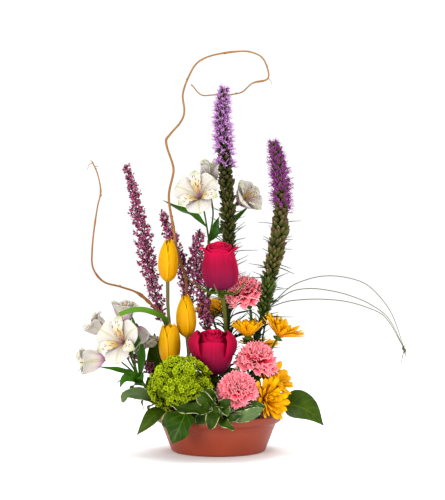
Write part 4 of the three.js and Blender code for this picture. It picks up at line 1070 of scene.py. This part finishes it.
def make_heather(node, bare, flowered, reach, seed):
    """A woody shoot whose short side shoots are thick with small bells and scale-like leaves. `reach` is how
    far they stand out, from the lowest to the highest."""
    draw = random.Random(seed)
    bm = empty()
    stamp(bm, tube([*bare, *flowered], [1.5, 1.3, 1.1, 0.9, 0.6], sides=7, rings=60), slot=1)
    steps, leaves = 240, 9
    line, ways, pairs = course(flowered, steps)
    length = sum((b - a).length for a, b in zip(line, line[1:]))
    bell = pod(3.7, 2.7, 2.7, [0.3, 0.9, 1, 0.85, 0.75], around=6, rings=4)
    leaf = pod(4.6, 1.1, 0.8, [0.7, 1, 0.8, 0.2], bend=0.2, around=4, rings=3, slot=1)
    shoots = int(length / 2.2)
    for k in range(shoots):
        share = (k + 0.5) / shoots
        i = int(share * (steps - 1))
        out = along(reach, share) * draw.uniform(0.55, 1.05)
        side = outward(pairs[i], k * GOLDEN)
        end = line[i] + side * out * 0.8 + ways[i] * out * 0.7
        middle = line[i] + side * out * 0.5 + ways[i] * out * 0.25
        stamp(bm, tube([line[i], middle, end], [0.5, 0.35], sides=4, rings=4), slot=1)
        for _ in range(max(6, round(out * 1.15))):
            at = draw.uniform(0.25, 1.05)
            spot = line[i].lerp(middle, min(1, 2 * at)) if at < 0.5 else middle.lerp(end, 2 * at - 1)
            away = Vector((draw.uniform(-1, 1), draw.uniform(-1, 1), draw.uniform(-0.9, 0.7))).normalized()
            place = looking(spot + away * 1.2, away) @ Matrix.Scale(draw.uniform(0.75, 1.15), 4)
            stamp(bm, bell, place, draw.random())
        for _ in range(leaves):
            spot = line[i].lerp(end, draw.uniform(0.1, 1.05))
            stamp(bm, leaf, looking(spot, side + ways[i] + scatter(draw)), draw.random())
    finish_piece(node, bm, [HEATHER_BELL, HEATHER_TWIG])


def make_sprig(node, run, leaves, materials, seed, small=(0, 0, 0)):
    """A short stem with its leaves. Each leaf is (midrib, half width, outline, the way it faces, bends), and
    `small` gives the count, length and half width of the lesser leaves along the stem. The materials are for
    the leaves' front, their back and the stem, and may have one more for a leaf of another kind."""
    draw = random.Random(seed)
    bm = empty()
    stamp(bm, tube(run, [1.7, 1.6, 1.5], sides=8, rings=20), slot=2)
    for rib, width, outline, face, bends in leaves:
        stamp(bm, blade(rib, width, outline, face, **{"under": 1, **bends}), tone=draw.random())
    leafy(bm, run, (0.45, 1), *small, slot=0, seed=seed, outline=OVAL)
    finish_piece(node, bm, materials)


def loose_leaves(root, low, high, count, width, seed):
    """Leaves from one place to tips drawn at random in a box, raised a little on their way."""
    draw = random.Random(seed)
    leaves = []
    for _ in range(count):
        tip = Vector(draw.uniform(a, b) for a, b in zip(low, high))
        start = Vector(root).lerp(tip, 0.3)
        middle = start.lerp(tip, 0.5) + Vector((draw.uniform(-4, 4), -4, draw.uniform(1, 6)))
        face = (draw.uniform(-0.7, 0.7), -1, draw.uniform(0.1, 0.9))
        leaves.append(([start, middle, tip], width * draw.uniform(0.8, 1.2), OVAL, face, RIPPLED))
    return leaves


# ---------------------------------------------------------------- the arrangement

set_camera()
set_studio()
make_bowl()
dress_foam()

WILLOW_TALL = [
    (-33, 23, ROOT), (-36, 24, CLEAR), (-42, 26, 120), (-45, 25, 180), (-45, 24, 215), (-46, 21, 239),
    (-50, 20, 252), (-59, 22, 280), (-64, 26, 312), (-70, 30, 347), (-70, 32, 363), (-64, 36, 391),
    (-65, 38, 401), (-75, 44, 435), (-69, 46, 445), (-54, 50, 463), (-49, 52, 477), (-51, 56, 504),
    (-38, 60, 538), (-27, 62, 551), (-5, 64, 560), (35, 64, 565), (52, 64, 562), (64, 63, 554), (72, 61, 532),
    (69, 60, 524), (49, 60, 519), (31, 60, 505), (-9, 60, 502), (-25, 58, 502), (-39, 58, 517),
]
WILLOW_LEFT = [
    (-48, 22, ROOT), (-51, 22, CLEAR), (-57, 24, 110), (-63, 24, 160), (-73, 18, 183), (-96, 7, 206),
    (-114, 3, 221), (-139, 0, 230), (-161, -4, 237), (-175, -8, 256), (-176, -10, 281), (-173, -10, 312),
    (-168, -10, 344), (-164, -10, 362), (-168, -10, 386), (-176, -10, 405),
]
make_willow(
    "willow_tall", WILLOW_TALL, thick=2.6, tip=0.9,
    swellings=[(0.2, 0.25), (0.36, 0.3), (0.52, 0.2), (0.74, 0.35), (0.86, 0.5)],
    twigs=[[(70, 61, 527), (75, 61, 522), (76, 61, 517)], [(-58, 22, 278), (-54, 21, 286), (-53, 21, 292)]],
    seed=3,
)
make_willow(
    "willow_left", WILLOW_LEFT, thick=2.1, tip=0.9,
    swellings=[(0.44, 0.9), (0.47, 0.9), (0.62, 0.3), (0.8, 0.35), (0.9, 0.4)],
    twigs=[
        [(-174, -10, 402), (-180, -12, 400), (-182, -12, 393)], [(-172, -10, 398), (-167, -9, 397)],
        [(-176, -10, 404), (-179, -10, 407)],
    ],
    seed=5,
)

make_liatris(
    "liatris_centre",
    bare=[(13, 38, ROOT), (13, 38, CLEAR), (13, 38, 150), (13, 37, 209)],
    budded=[(13, 36, 236), (13, 36, 252), (14, 34, 294), (14, 33, 330), (12, 32, 366)],
    flowered=[(10, 31, 388), (8, 30, 424), (5, 29, 464), (6, 28, 493), (8, 28, 508)],
    lilac=LIATRIS_LILAC, scales=BUD_SCALE, green_share=0, needles=(0.26, 0.86, 160, 40), stars=9, full=1.12,
    seed=11,
)
make_liatris(
    "liatris_right",
    bare=[(41, 14, ROOT), (44, 12, CLEAR), (51, 6, 140), (57, 5, 169)],
    budded=[(62, 4, 190), (66, 4, 212), (71, 3, 239), (77, 3, 267), (83, 4, 295), (85, 5, 312)],
    flowered=[(87, 5, 328), (88, 6, 344), (88, 7, 365), (85, 8, 393), (81, 9, 415), (77, 10, 431)],
    lilac=LIATRIS_MAGENTA, scales=RIPE_SCALE, green_share=0.4, needles=(0.34, 0.96, 100, 34), stars=6,
    full=1.26, seed=23,
)

make_heather(
    "heather_left",
    bare=[(-43, 32, ROOT), (-47, 33, CLEAR), (-60, 36, 120)],
    flowered=[
        (-78, 36, 178), (-86, 36, 202), (-97, 35, 245), (-104, 34, 287), (-110, 34, 316), (-116, 34, 337),
        (-120, 34, 358), (-131, 34, 399),
    ],
    reach=[9, 12, 15, 17, 17, 15, 12, 9, 6], seed=31,
)
make_heather(
    "heather_middle",
    bare=[(-22, 42, ROOT), (-26, 44, CLEAR), (-38, 47, 130)],
    flowered=[
        (-44, 48, 194), (-45, 48, 215), (-47, 48, 237), (-51, 48, 257), (-57, 48, 273), (-64, 48, 290),
        (-71, 48, 306), (-77, 48, 320), (-79, 48, 333),
    ],
    reach=[12, 15, 16, 15, 13, 9, 6], seed=37,
)
make_heather(
    "heather_right",
    bare=[(-13, 22, ROOT), (-14, 23, CLEAR), (-16, 23, 120)],
    flowered=[
        (-15, 23, 168), (-18, 23, 185), (-24, 23, 214), (-29, 23, 245), (-32, 23, 266), (-30, 23, 287),
        (-26, 23, 304),
    ],
    reach=[12, 14, 15, 15, 14, 12, 9], seed=41,
)
make_heather(
    "heather_low",
    bare=[(-40, 4, ROOT + 8), (-54, 8, CLEAR)],
    flowered=[(-78, 16, 88), (-96, 20, 112), (-116, 22, 128), (-132, 24, 138)],
    reach=[7, 9, 9, 8, 6], seed=43,
)

# Tulips, with a few leaves low on each stem. The tallest has a strap leaf, cut square, that arches to the
# left.
TULIPS = [
    {
        "run": [
            (-42, 13, ROOT), (-46, 13, CLEAR), (-58, 15, 110), (-67, 15, 160), (-71, 6, 200), (-71, -5, 228),
            (-71, -6, 237),
        ],
        "axis": (0.02, 0, 1), "roll": 90, "open_by": 0,
        "strap": [
            (-68, 15, 166), (-74, 8, 182), (-90, -8, 193), (-106, -14, 198), (-122, -18, 197),
            (-138, -22, 192),
        ],
    },
    {
        "run": [(-28, 6, ROOT), (-30, 6, CLEAR), (-38, 5, 112), (-43.5, 4, 150), (-44, 4, 158)],
        "axis": (-0.06, 0, 1), "roll": 100, "open_by": 0,
    },
    {
        "run": [(-33, -9, ROOT), (-38, -8, CLEAR), (-54, -6, 90), (-68, -6, 112), (-68, -6, 118)],
        "axis": (-0.02, 0, 1), "roll": 80, "open_by": 5,
    },
]
NECK = 5  # how far a tulip's stem reaches into its bloom
for i, tulip in enumerate(TULIPS):
    stalk = empty()
    neck = Vector(tulip["run"][-1]) + NECK * Vector(tulip["axis"])
    stamp(stalk, tube([*tulip["run"], neck], [2.3, 2.2, 2.3, 2.6], sides=12, rings=40))
    leafy(stalk, tulip["run"], (0.2, 0.5), count=4, length=44, width=8, slot=1, seed=i, outline=TONGUE)
    if "strap" in tulip:
        stamp(stalk, blade(tulip["strap"], 4.6, STRAP, (0, -0.8, 0.6), cup=0.3, rows=26, slot=1))
    finish_piece(f"tulip_{i + 1}_stem", stalk, [TULIP_STEM, STRAP_GREEN])
    petals = tulip_bloom(tulip["open_by"], 50 + i)
    place = looking(tulip["run"][-1], tulip["axis"], tulip["roll"])
    finish_piece(f"tulip_{i + 1}_bloom", petals, [TULIP_YELLOW], place)

# Roses, with sepals under each head, given as (half width, points). BROAD guard petals round off at the lip,
# and SQUARE ones keep their width.
BROAD = [0.55, 0.9, 1, 1, 0.94, 0.66]
SQUARE = [0.55, 0.9, 1, 1, 1, 0.96]
ROSES = [
    {
        "name": "rose_upper",
        "run": [(12, 6, ROOT), (12, 6, CLEAR), (12, 7, 130), (9, 0, 190), (6, -9, 216), (5, -11, 225)],
        "axis": (-0.08, -0.24, 0.97), "leafy": (0.16, 0.45), "leaves": 7,
        "head": {
            "heart_height": 0.97, "top": 0.76, "nod": 0.0, "seed": 61,
            "guards": [
                (90, 86, (0.84, 0.98, 0.97, 0.88, 0.8), 0.97, 2.0, 2, BROAD),
                (192, 62, (0.84, 1.0, 0.97, 0.86, 0.76), 0.97, 3.0, 6, BROAD),
                (346, 62, (0.86, 1.03, 1.0, 0.88, 0.8), 0.93, 3.2, 9, BROAD),
                (258, 88, (0.88, 1.07, 1.05, 0.93, 0.82), 0.9, 1.2, 0, SQUARE),
            ],
        },
        "sepals": [
            (2.4, [(-14, -20, 223), (-49, -30, 247)]), (2.4, [(24, -20, 222), (44, -28, 250)]),
            (4.4, [(2, -40, 216), (-6, -54, 236)]), (2.4, [(3, 4, 214), (-2, 14, 206)]),
        ],
    },
    {
        "name": "rose_lower",
        "run": [(-6, -16, ROOT), (-7, -17, CLEAR), (-8, -25, 98), (-8, -26, 106)],
        "axis": (0, -0.1, 1), "leafy": (0.4, 0.85), "leaves": 6,
        "head": {
            "heart_height": 0.95, "top": 0.74, "nod": 0.16, "seed": 67,
            "guards": [
                (90, 86, (0.72, 1.06, 1.28, 1.22, 0.86), 0.93, 1.0, 0, BROAD),
                (270, 84, (0.74, 1.06, 1.18, 1.1, 0.94), 0.78, 1.2, 0, SQUARE),
                (176, 62, (0.68, 1.02, 1.38, 1.38, 0.9), 0.96, 0.4, 0, BROAD),
                (4, 60, (0.7, 1.05, 1.38, 1.36, 0.88), 0.95, 0.4, 0, BROAD),
            ],
        },
        "sepals": [
            (2.4, [(-22, -30, 99), (-31, -34, 110)]), (2.4, [(4, -42, 98), (8, -52, 101)]),
            (2.4, [(8, -16, 97), (18, -10, 95)]),
        ],
    },
]
for rose in ROSES:
    stalk = empty()
    stamp(stalk, tube(rose["run"], [2.4, 2.4, 2.5, 3.4], sides=12, rings=40))
    base = Vector(rose["run"][-1]) - 3 * UP
    stamp(stalk, pod(7, 9, 9, [0.4, 0.8, 1, 0.9], around=12, rings=6), looking(base, rose["axis"]))
    leafy(stalk, rose["run"], rose["leafy"], rose["leaves"], length=32, width=9, slot=2, seed=10)
    for width, points in rose["sepals"]:
        stamp(stalk, blade([base, *points], width, SEPAL, (0, -0.6, 0.8), columns=6, slot=1))
    finish_piece(f"{rose['name']}_stem", stalk, [ROSE_STEM, SEPAL_GREEN, SALAL])
    petals, place = rose_bloom(**rose["head"]), looking(rose["run"][-1], rose["axis"])
    finish_piece(f"{rose['name']}_bloom", petals, [ROSE_BACK, ROSE_FRONT], place)

# Carnations: each head sits in a slim green calyx with teeth.
CARNATIONS = [
    {
        "run": [(26, 15, ROOT), (27, 15, CLEAR), (38, 18, 130), (46, 20, 184), (45, 20, 196)],
        "axis": (-0.3, -0.15, 0.95),
    },
    {"run": [(30, -20, ROOT), (32, -22, CLEAR), (45, -24, 92), (49, -25, 106)], "axis": (0.16, -0.3, 0.94)},
    {
        "run": [(14, -32, ROOT + 4), (17, -37, CLEAR), (22, -46, 72), (24, -52, 77)],
        "axis": (0.12, -0.78, 0.6),
    },
]
CALYX = 14  # a carnation's calyx, from its foot to where the petals leave it
for i, carnation in enumerate(CARNATIONS):
    facing = Vector(carnation["axis"]).normalized()
    base = Vector(carnation["run"][-1])
    seat = base + facing * CALYX
    stalk = empty()
    stamp(stalk, tube(carnation["run"], [1.9, 1.9, 2.1], sides=10, rings=36))
    calyx = pod(CALYX + 3, 8.8, 8.8, [0.55, 0.9, 1, 1, 0.9, 0.6], around=14, rings=8)
    stamp(stalk, calyx, looking(base, facing))
    tooth = pod(6, 4, 1, [0.9, 1, 0.6, 0.1], bend=0.3, around=6, rings=5)
    for k in range(5):
        place = looking(base, facing, 72 * k) @ Matrix.Translation((3.6, 0, CALYX - 2))
        stamp(stalk, tooth, place)
    leafy(stalk, carnation["run"], (0.4, 0.8), count=4, length=30, width=2.2, slot=0, seed=i)
    finish_piece(f"carnation_{i + 1}_stem", stalk, [GREY_STEM])
    petals, place = carnation_bloom(71 + i), looking(seat, facing, 20 * i)
    finish_piece(f"carnation_{i + 1}_bloom", petals, [CARNATION_PINK], place)

# Snowball viburnum at the front left.
VIBURNUM_RUN = [(-26, -30, ROOT + 4), (-30, -36, CLEAR), (-36, -46, 74), (-42, -56, 86)]
stalk = empty()
stamp(stalk, tube(VIBURNUM_RUN, [2, 2]))
leafy(stalk, VIBURNUM_RUN, (0.45, 0.7), count=5, length=30, width=10, slot=1, seed=3)
finish_piece("viburnum_stem", stalk, [GREEN_STEM, SALAL])
finish_piece(
    "viburnum_head", viburnum_bloom(5), [VIBURNUM_LIME, VIBURNUM_CORE],
    Matrix.Translation((-52, -68, 99.5)),
)

# Yellow daisy chrysanthemums on three branching sprays. `bends` gives, for each head of a spray, the point
# that its branch passes on the way from the trunk.
DAISIES = [
    {"base": (41, -12, 159), "axis": (0, -0.05, 1), "rise": 22, "radius": 22},
    {"base": (83, -8, 159), "axis": (0.46, -0.08, 0.87), "rise": 21, "radius": 31},
    {"base": (-8, 72, 185), "axis": (-0.1, -0.4, 0.9), "rise": 14, "radius": 24},
    {"base": (58, 50, 138), "axis": (0.1, -0.1, 1), "rise": 8, "radius": 28},
    {"base": (68, -20, 97), "axis": (0.6, -0.5, 0.6), "rise": 19, "radius": 30, "double": True},
    {"base": (63, -44, 76), "axis": (0.6, -0.72, 0.28), "rise": 17, "radius": 29, "double": True},
]
DAISY_SPRAYS = {
    "daisy_spray_upper": {
        "trunk": [(37, -3, ROOT), (38, -2, CLEAR), (41, 2, 96)],
        "bends": {0: (42, -6, 130), 1: (68, -2, 132)},
        "leaf": [(40, 0, 88), (50, 8, 102), (62, 11, 112), (74, 8, 117)],
        "seed": 17,
    },
    "daisy_spray_back": {
        "trunk": [(18, 44, ROOT), (19, 47, CLEAR), (22, 56, 92)],
        "bends": {2: (6, 66, 140), 3: (44, 56, 112)},
        "leaf": [(21, 54, 88), (12, 40, 102), (0, 30, 122), (-6, 24, 136)],
        "seed": 16,
    },
    "daisy_spray_lower": {
        "trunk": [(44, -22, ROOT), (46, -22, CLEAR), (52, -22, 70)],
        "bends": {4: (60, -21, 84), 5: (56, -28, 76)},
        "leaf": [(50, -22, 66), (46, -30, 84), (50, -34, 98), (56, -34, 108)],
        "seed": 17,
    },
}
for i, daisy in enumerate(DAISIES):
    place = looking(daisy["base"], daisy["axis"], 13 * i)
    petals = daisy_bloom(daisy["rise"], daisy["radius"], daisy.get("double", False), 81 + i)
    finish_piece(f"daisy_{i + 1}_bloom", petals, [DAISY_YELLOW, DAISY_DISC], place)
for name, spray in DAISY_SPRAYS.items():
    stalk = empty()
    stamp(stalk, tube(spray["trunk"], [1.9, 1.9, 1.7], rings=20))
    leafy(stalk, spray["trunk"], (0.4, 1), count=11, length=30, width=8, slot=1, seed=spray["seed"])
    stamp(stalk, blade(spray["leaf"], 9, LANCE, (0.1, -1, 0.3), wave=0.2, slot=1))
    cup = pod(6.5, 12, 12, [0.3, 0.75, 1, 0.9], around=14, rings=6)
    scale = pod(6, 3, 1, [0.8, 1, 0.7, 0.2], bend=0.25, around=6, rings=4)
    for head, bend in spray["bends"].items():
        base, facing = Vector(DAISIES[head]["base"]), Vector(DAISIES[head]["axis"]).normalized()
        branch = [spray["trunk"][-1], bend, base - facing * 12, base - facing * 3]
        stamp(stalk, tube(branch, [1.6, 1.5, 1.6]))
        stamp(stalk, cup, looking(base - facing * 5, facing))
        for k in range(12):
            out = Matrix.Translation((3.4 + k % 2, 0, -4)) @ turned(math.radians(38), "Y")
            stamp(stalk, scale, looking(base, facing, 30 * k) @ out)
    finish_piece(f"{name}_stem", stalk, [GREEN_STEM, LANCE_GREEN])

# Alstroemeria: white flowers on one branching stem above the centre and another to the left. A head's branch
# passes its `bend`, where it has one.
ALSTROEMERIA_FINISHES = [ALSTROEMERIA_OUTER, ALSTROEMERIA_INNER, STAMEN, FILAMENT, GREEN_STEM]
ALSTROEMERIA = {
    "alstroemeria_top": {
        "trunk": [(-8, 44, ROOT), (-8, 45, CLEAR), (-12, 48, 140), (-15, 50, 215), (-14, 50, 294)],
        "leafy": (0.15, 0.9), "seed": 16,
        "leaves": [
            ([(-17, 51.5, 313), (-36, 46, 331), (-58, 43, 340), (-79, 42, 351)], 5.5, (0, -0.7, 0.7)),
            ([(-13, 50, 292), (-6, 48, 305), (-3, 48, 318), (1, 48, 328)], 6, (0, -1, 0)),
            ([(-10, 52, 300), (10, 66, 312), (30, 68, 330), (46, 70, 345)], 5, (0, -0.9, 0.4)),
        ],
        "heads": [
            {"base": (-25, 50, 350), "axis": (-0.2, -0.85, 0.45), "roll": 30, "bend": (-18, 52, 320)},
            {
                "base": (-12, 62, 366), "axis": (-0.1, -0.2, 0.95), "roll": 60, "bend": (-8, 60, 330),
                "spread": 0.85, "open_by": 0.4,
            },
            {
                "base": (24, 62, 344), "axis": (0.65, -0.5, 0.45), "roll": 15, "bend": (8, 60, 318),
                "spread": 0.9, "open_by": 0.85,
            },
        ],
    },
    "alstroemeria_left": {
        "trunk": [(-44, -14, ROOT + 8), (-54, -15, CLEAR), (-78, -17, 72), (-94, -18, 82), (-112, -18, 106)],
        "leafy": (0.3, 1), "seed": 17,
        "leaves": [
            ([(-108, -18, 101), (-125, -30, 112), (-143, -40, 118), (-165, -46, 122)], 5, (0, -0.7, 0.7)),
            ([(-106, -18, 98), (-118, -30, 106), (-130, -36, 104), (-136, -38, 92)], 8, (0, -0.9, 0.4)),
            ([(-109, -18, 103), (-108, -10, 138), (-115, -12, 158), (-121, -16, 192)], 6, (0, -1, 0)),
        ],
        "heads": [
            {"base": (-128, -14, 150), "axis": (-0.4, -0.85, 0.3), "roll": 10},
            {
                "base": (-152, -26, 131), "axis": (-0.97, -0.25, -0.02), "roll": 30, "spread": 0.95,
                "open_by": 0.55,
            },
            {"base": (-152, 12, 160), "axis": (-0.7, -0.1, 0.6), "spread": 0.82, "open_by": 0.6},
            {"base": (-134, 10, 174), "axis": (0.1, -0.1, 0.97), "roll": 20, "spread": 0.82, "open_by": 0.7},
            {
                "base": (-118, 6, 178), "axis": (0.5, -0.3, -0.8), "bend": (-128, 4, 150),
                "spread": 0.92, "open_by": 0.65,
            },
        ],
    },
}
for name, plant in ALSTROEMERIA.items():
    stalk = empty()
    stamp(stalk, tube(plant["trunk"], [2.3, 2.2, 2.1], rings=44))
    for head in plant["heads"]:
        neck = Vector(head["base"]) - Vector(head["axis"]).normalized() * 10
        middle = [head["bend"]] if "bend" in head else []
        branch = [plant["trunk"][-1], *middle, neck, head["base"]]
        stamp(stalk, tube(branch, [1.3, 1.2, 1.4], sides=8))
    leafy(
        stalk, plant["trunk"], plant["leafy"], count=16, length=32, width=5.5, slot=1, seed=plant["seed"],
        outline=LANCE,
    )
    for rib, width, face in plant["leaves"]:
        stamp(stalk, blade(rib, width, LANCE, face, wave=0.12, slot=1))
    finish_piece(f"{name}_stem", stalk, [GREEN_STEM, LANCE_GREEN])
    for i, head in enumerate(plant["heads"]):
        petals = alstroemeria_bloom(head.get("spread", 1), head.get("open_by", 1), 91 + 10 * i)
        place = looking(head["base"], head["axis"], head.get("roll", 0))
        finish_piece(f"{name}_bloom_{i + 1}", petals, ALSTROEMERIA_FINISHES, place)


# Foliage round the rim: pittosporum in front, at the left and behind, one ivy leaf, and salal at both sides.
PITTOSPORUM_LOOK = [PITTOSPORUM, PITTOSPORUM_UNDER, GREEN_STEM, SALAL]
SALAL_LOOK = [SALAL, SALAL_UNDER, GREEN_STEM]
make_sprig(
    "pittosporum_front",
    [(-4, -42, ROOT + 10), (-7, -54, CLEAR + 0.5), (-10, -72, 66), (-12, -88, 66)],
    [
        ([(-6, -84, 68), (-36, -100, 70), (-63, -98, 76)], 10, WEDGE, (-0.1, -1, 0.9), RIPPLED),
        ([(-5, -82, 70), (-16, -95, 82), (-27, -98, 94)], 10, OVAL, (-0.5, -1, 0.1), CUPPED),
        ([(-4, -76, 70), (-10, -86, 86), (-19, -90, 97)], 8, OVAL, (-0.2, -1, 0.2), CUPPED),
        ([(-2, -82, 67), (9, -100, 77), (16, -100, 83)], 8, OVAL, (0.3, -1, 0.5), RIPPLED),
        ([(-2, -84, 65), (8, -103, 69), (13, -106, 62)], 7, OVAL, (0.6, -1, 0.1), CUPPED),
        ([(-4, -86, 66), (-7, -105, 57), (-11, -106, 44)], 9, OVAL, (-0.3, -1, 0.5), CUPPED),
        ([(-2, -84, 60), (8, -104, 51), (21, -106, 43)], 7, OVAL, (0.3, -0.8, 0.9), RIPPLED),
        ([(5, -84, 58), (18, -102, 58), (30, -104, 62)], 5, OVAL, (0, -1, 0.3), RIPPLED),
        ([(8, -78, 60), (34, -100, 60), (60, -98, 71)], 9, OVAL, (0, -1, 0.7), {"cup": 0.2, "slot": 1}),
        *loose_leaves((-8, -66, 62), (-40, -90, 60), (66, -78, 78), count=24, width=9, seed=3),
    ],
    PITTOSPORUM_LOOK, seed=33, small=(14, 26, 8),
)
make_sprig(
    "pittosporum_left",
    [(-36, -24, ROOT + 10), (-46, -29, CLEAR + 0.5), (-70, -34, 66), (-92, -38, 72)],
    [
        (
            [(-84, -38, 68), (-105, -46, 82), (-126, -48, 82), (-131, -50, 73)], 11, OVAL, (0.1, 0.6, -0.8),
            {**CUPPED, "cup": -0.3},
        ),
        ([(-82, -36, 70), (-90, -34, 90), (-97, -30, 106)], 8, OVAL, (0, -1, 0.2), CUPPED),
        ([(-72, -40, 70), (-84, -38, 86), (-86, -34, 98)], 8, OVAL, (-0.4, -1, 0.2), CUPPED),
        ([(-78, -42, 66), (-92, -62, 52), (-111, -66, 31)], 12, POINTED, (-0.3, -1, 0.5), {"slot": 3}),
    ],
    PITTOSPORUM_LOOK, seed=4, small=(12, 22, 6),
)
make_sprig(
    "pittosporum_back",
    [(2, 44, ROOT + 10), (2, 53, CLEAR + 0.5), (3, 74, 70), (4, 88, 76)],
    [
        ([(4, 86, 75), (-20, 96, 72), (-46, 98, 62)], 11, OVAL, (0, 1, 0.5), RIPPLED),
        ([(4, 84, 74), (28, 98, 74), (52, 96, 62)], 11, OVAL, (0, 1, 0.5), RIPPLED),
        ([(4, 87, 75.5), (-2, 102, 60), (-6, 106, 42)], 10, OVAL, (0, 1, 0.2), RIPPLED),
        ([(3, 78, 72), (-14, 88, 96), (-24, 92, 112)], 10, OVAL, (0, 1, 0.2), RIPPLED),
        ([(3, 76, 71), (20, 88, 92), (30, 92, 108)], 10, OVAL, (0, 1, 0.2), RIPPLED),
    ],
    PITTOSPORUM_LOOK, seed=5, small=(16, 26, 8),
)
make_sprig(
    "ivy_front",
    [(-20, -42, ROOT + 10), (-26, -50, CLEAR + 0.5), (-40, -78, 58), (-50, -92, 56)],
    [
        (
            [(-44, -92, 64), (-52, -101, 46), (-62, -102, 24)], 17, IVY_LOBES, (-0.3, -1, 0.2),
            {"wave": 0.05, "rows": 28, "under": 0},
        ),
        ([(-60, -82, 64), (-68, -88, 55), (-67, -91, 42)], 8, OVAL, (-0.5, -1, 0.1), {"cup": 0.3, "slot": 3}),
    ],
    [IVY, PITTOSPORUM_UNDER, GREEN_STEM, PITTOSPORUM], seed=2,
)
make_sprig(
    "salal_right",
    [(42, 0, ROOT + 10), (50, -1, CLEAR + 0.5), (72, -8, 66), (92, -11, 65)],
    [
        (
            [(90, -11, 65), (108, -15, 64), (127, -18, 56), (146, -20, 38)], 23, HEART, (0.1, -0.8, 0.6),
            {"cup": 0.3},
        ),
    ],
    SALAL_LOOK, seed=1,
)
make_sprig(
    "salal_left",
    [(-34, 42, ROOT + 6), (-41, 46, CLEAR), (-60, 54, 78), (-76, 56, 98)],
    [
        (
            [(-74, 56, 95), (-84, 54, 118), (-90, 52, 140), (-92, 48, 160)], 20, HEART, (0, -1, 0.2),
            {"cup": 0.3},
        ),
    ],
    SALAL_LOOK, seed=1,
)

# Bear grass: three fine blades that arch out to the right and are knotted together at their ends.
KNOT = (262, 12, 141)
GRASS_START = (70, 20, 198)
GRASS_BLADES = [
    [
        (101, 20, 228), (129, 19, 240), (153, 18, 244), (179, 17, 242), (207, 16, 233), (228, 15, 214),
        (245, 14, 189),
    ],
    [(101, 20, 221), (129, 20, 226), (158, 20, 223), (186, 18, 216), (214, 16, 204), (239, 14, 185)],
    [(94, 20, 207), (115, 20, 210), (143, 20, 211), (179, 18, 208), (211, 16, 199), (235, 14, 186)],
]
grass = empty()
stamp(grass, tube([(46, 24, ROOT), (48, 24, CLEAR), (58, 22, 130), GRASS_START], [1.3, 1.3], sides=8))
for run in GRASS_BLADES:
    stamp(grass, tube([GRASS_START, *run, KNOT], [0.7, 0.6, 0.5], sides=6, rings=60))
tie = [(262, 12, 146), (260.5, 13, 142), (263, 11, 139), (262, 12, 135)]
stamp(grass, tube(tie, [0.6, 2.0, 1.8, 0.5], rings=16))
for end in ([(259, 12, 128), (257, 12, 117)], [(264, 12, 132), (265, 12, 124)]):
    stamp(grass, tube([KNOT, *end], [0.6, 0.5, 0.3], sides=6, rings=12))
finish_piece("bear_grass", grass, [GRASS])
